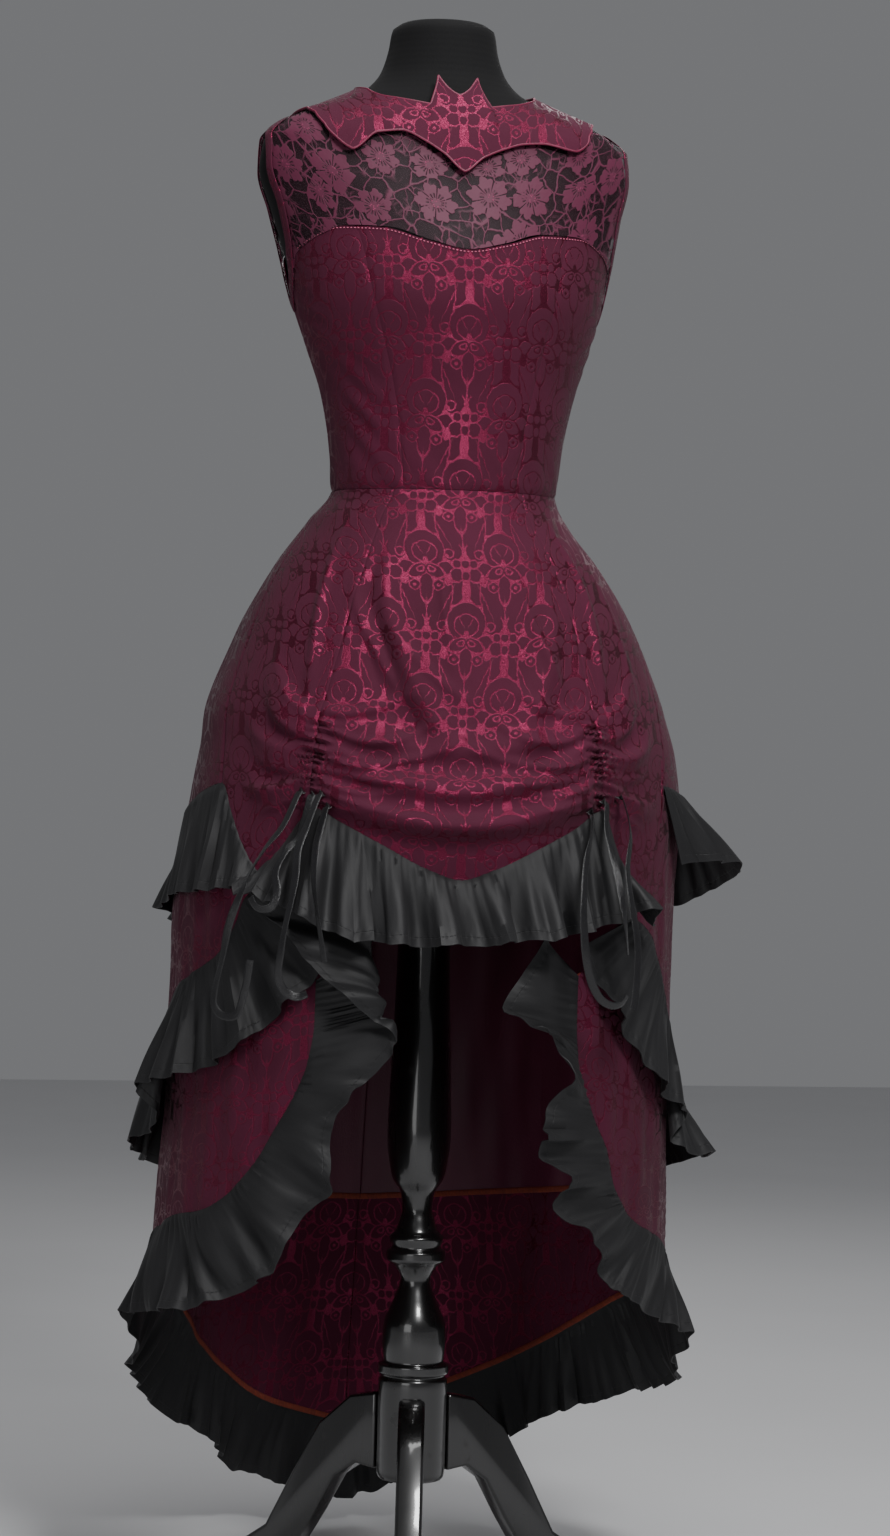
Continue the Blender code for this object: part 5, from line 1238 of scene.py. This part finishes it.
# Collar: pointed and scalloped below, two upright points in front, a rolled bright edge.
collarCut = {"columns": 420, "rows": 16, "piping": 0.0012}


def collarPoints():
    places = np.linspace(0, len(collarOutline) - 1, collarCut["columns"] + 1)
    sharp = alongRows(collarOutline, places, False)
    smooth = alongRows(collarOutline, places)
    rows = sharp * 0.35 + smooth * 0.65
    t = np.linspace(0, 1, collarCut["rows"] + 1)[:, None, None]
    spots = rows[None, :, :3] * (1 - t) + rows[None, :, 3:] * t
    curl = 0.0012 * np.sin(np.radians(spots[..., 0]) * 11) * np.sin(math.pi * t[..., 0])
    return formPoint(spots[..., 0], spots[..., 1], spots[..., 2] + curl), spots[..., :2]


points, spots = collarPoints()
piece = cloth("collar", points, straightCloth(points, spots, formCurve, 0.0), sizes["collar"], brocade,
              ["collar"])
inside = (points[1] - points[0]) / np.linalg.norm(points[1] - points[0], axis=1)[:, None]
back = inwardFrom(points[0]) * sizes["collar"] / 2
rim = sweep("collar_rim", points[0] + inside * 0.0004 + back, collarCut["piping"], collarCut["piping"])
dress(rim, pipingCloth)
upperRim = sweep("collar_upper_rim", points[-1] + back, collarCut["piping"], collarCut["piping"])
dress(upperRim, pipingCloth)
print("collar made")

# Armhole bindings: a band of the brocade laid round each armhole.
bindingCut = {
    "width": 0.016, "thickness": 0.0016, "lift": 0.0013, "top": 1.661, "steps": 140, "across": 14,
    "settle": 1.51, "settleOver": 0.04, "middle": 1.56, "radius": 0.19,
}
for side, sign in sides:
    closed = armholeLoop[-3:] + armholeLoop + armholeLoop[:4]
    spots = alongRows(closed, 3 + np.linspace(0, len(armholeLoop), bindingCut["steps"] + 1))
    along = np.radians(spots[:, 0] - 90.0) * bindingCut["radius"]
    rise = spots[:, 1] - bindingCut["middle"]
    reach = np.hypot(along, rise)
    turn = np.linspace(0, 2 * math.pi, bindingCut["across"] + 1)[:, None]
    share = 0.5 + 0.5 * squared(np.cos(turn))
    wide = (reach + bindingCut["width"] * share) / reach
    angle = 90.0 + (spots[:, 0] - 90.0) * wide
    height = np.minimum(bindingCut["middle"] + rise * wide, bindingCut["top"] - 0.002 * (1 - share))
    yokeFace, bodiceFace = sizes["yokeClear"] + sizes["lace"], sizes["bodiceClear"] + sizes["brocade"]
    settled = np.clip((bindingCut["settle"] - height) / bindingCut["settleOver"], 0, 1)
    lift = yokeFace + (bodiceFace - yokeFace) * settled + bindingCut["lift"] + bindingCut["thickness"] * (
        0.5 + 0.5 * squared(np.sin(turn)))
    points = formPoint(sign * angle, height, lift)
    flat = np.stack([np.radians(angle) * bindingCut["radius"] * sign, height - sizes["waist"]], -1)
    piece = makeGrid("armhole_binding_" + side + "_cloth", points, flat)
    closeSeams(piece)
    dress(piece, brocade, ["armhole_binding_" + side])
print("bindings made")

# Topstitching along the bust seam.
stitching = {
    "below": 0.0024, "length": 0.0026, "step": 0.0042, "radius": 0.00065, "lift": 0.0006, "reach": 79,
    "points": 900,
}
turns = np.linspace(-stitching["reach"], stitching["reach"], stitching["points"])
line = bodicePoint(turns, bustHeight(turns) - stitching["below"], stitching["lift"])
travel = travelAlong(line)
bpy.ops.object.select_all(action="DESELECT")
bpy.ops.mesh.primitive_uv_sphere_add(segments=8, ring_count=4, radius=1.0)
pattern = bpy.context.object
copies = []
for start in np.arange(0.001, travel[-1] - stitching["step"], stitching["step"]):
    a, b = [Vector([np.interp(spot, travel, line[:, number]) for number in range(3)])
            for spot in (start, start + stitching["length"])]
    stitch = pattern.copy()
    stitch.data = pattern.data.copy()
    bpy.context.collection.objects.link(stitch)
    turn = (b - a).to_track_quat("X", "Z").to_matrix().to_4x4()
    size = Matrix.Diagonal((stitching["length"] / 2, stitching["radius"], stitching["radius"], 1.0))
    stitch.data.transform(Matrix.Translation((a + b) / 2) @ turn @ size)
    copies.append(stitch)
bpy.data.objects.remove(pattern, do_unlink=True)
for stitch in copies:
    stitch.select_set(True)
bpy.context.view_layer.objects.active = copies[0]
bpy.ops.object.join()
stitches = bpy.context.object
stitches.name = "bust_topstitching"
dress(stitches, topThread)
print("topstitching made")

# Dress form, turned post and three legs.
standCut = {
    "formColumns": 96, "formRows": 150, "postColumns": 64, "postStep": 6, "legBevel": 0.004,
    "formLow": 0.945, "formTop": 1.775,
}
turns = np.linspace(0, 360, standCut["formColumns"] + 1)[None]
heights = np.linspace(standCut["formLow"], standCut["formTop"], standCut["formRows"] + 1)[:, None]
rings = formPoint(np.broadcast_to(turns, (len(heights), turns.shape[1])), heights, 0.0)
ends = []
for ring, lifts in ((rings[0], (0, 0, 0)), (rings[-1], (0.0035, 0.003, 0.0015))):
    middle = ring.mean(0)
    ends.append([middle + (ring - middle) * share + np.array([0, 0, lift]) for share,
                 lift in zip((0, 0.55, 0.93), lifts)])
rings = np.concatenate([np.array(ends[0]), rings, np.array(ends[1])[::-1]])
piece = makeGrid("form_torso_cover", rings)
closeSeams(piece)
dress(piece, jersey, ["form_torso"])

count = (len(postProfile) - 1) * standCut["postStep"]
profile = alongRows(postProfile, np.linspace(0, len(postProfile) - 1, count + 1))
turns = np.radians(np.linspace(0, 360, standCut["postColumns"] + 1))
rings = np.stack([profile[:, 1:] * np.sin(turns), -profile[:, 1:] * np.cos(turns),
                  np.broadcast_to(profile[:, :1], (len(profile), len(turns)))], -1) + axis
ends = [np.broadcast_to(axis + np.array([0, 0, profile[end, 0]]), rings[:1].shape) for end in (0, -1)]
piece = makeGrid("stand_post_turned", np.concatenate([ends[0], rings, ends[1]]))
closeSeams(piece)
dress(piece, lacquer, ["stand_post"], 40)
for number in (1, 2, 3):
    name = "stand_leg_" + str(number)
    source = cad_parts[name]
    leg = source.copy()
    leg.data = source.data.copy()
    bpy.context.collection.objects.link(leg)
    leg.name = name + "_carved"
    leg.hide_render = False
    leg.hide_viewport = False
    closeSeams(leg, 0.0001)
    bpy.ops.object.mode_set(mode="EDIT")
    bpy.ops.mesh.select_all(action="SELECT")
    bpy.ops.mesh.dissolve_limited(angle_limit=math.radians(1))
    bpy.ops.object.mode_set(mode="OBJECT")
    bevel = leg.modifiers.new("bevel", "BEVEL")
    bevel.width = standCut["legBevel"]
    bevel.segments = 3
    bevel.limit_method = "ANGLE"
    bevel.angle_limit = math.radians(50)
    applyAll(leg)
    dress(leg, lacquer, [name], 40)
print("form and stand made")

# A plain pale floor and soft studio light.
studio = {
    "floor": 14.0, "floorColour": (0.62, 0.62, 0.63, 1), "surround": (0.80, 0.81, 0.84, 1),
    "surroundStrength": 0.22,
    # Place to the camera's right, towards the camera and up, then width, power and what it looks at.
    "lamps": [("keyLamp", (1.0, 2.6, 3.1), 0.8, 95.0, 1.2), ("topLamp", (0.3, 0.6, 3.7), 1.4, 45.0, 1.0),
              ("fillLamp", (-1.4, 3.2, 0.9), 1.6, 16.0, 0.5),
              ("backLamp", (0.6, -3.0, 2.8), 1.6, 16.0, 1.0)],
}
bpy.ops.object.select_all(action="DESELECT")
bpy.ops.mesh.primitive_grid_add(x_subdivisions=4, y_subdivisions=4, size=studio["floor"])
floor = bpy.context.object
floor.name = "studioFloor"
ground = Finish("paleFloor", Roughness=0.7)
speckle = ground.noise(ground.placeOn(), 3.0, 4.0)[0]
low, high = [tuple(value * share for value in studio["floorColour"][:3]) + (1,) for share in (0.97, 1.03)]
ground.feed("Base Color", ground.mix(speckle, low, high))
floor.data.materials.append(ground.material)
world = bpy.data.worlds.new("studio")
bpy.context.scene.world = world
world.use_nodes = True
world.node_tree.nodes["Background"].inputs[0].default_value = studio["surround"]
world.node_tree.nodes["Background"].inputs[1].default_value = studio["surroundStrength"]
turn = math.radians(cameraView["azimuth"])
for name, (sideways, near, up), size, power, target in studio["lamps"]:
    right, ahead = Vector((math.cos(turn), math.sin(turn), 0)), Vector((-math.sin(turn), math.cos(turn), 0))
    place = Vector(axis) + right * sideways - ahead * near + Vector((0, 0, up))
    bpy.ops.object.light_add(type="AREA", location=place)
    lamp = bpy.context.object
    lamp.name = name
    lamp.data.size = size
    lamp.data.energy = power
    look = Vector(axis) + Vector((0, 0, target)) - place
    lamp.rotation_euler = look.to_track_quat("-Z", "Y").to_euler()
print("light set")
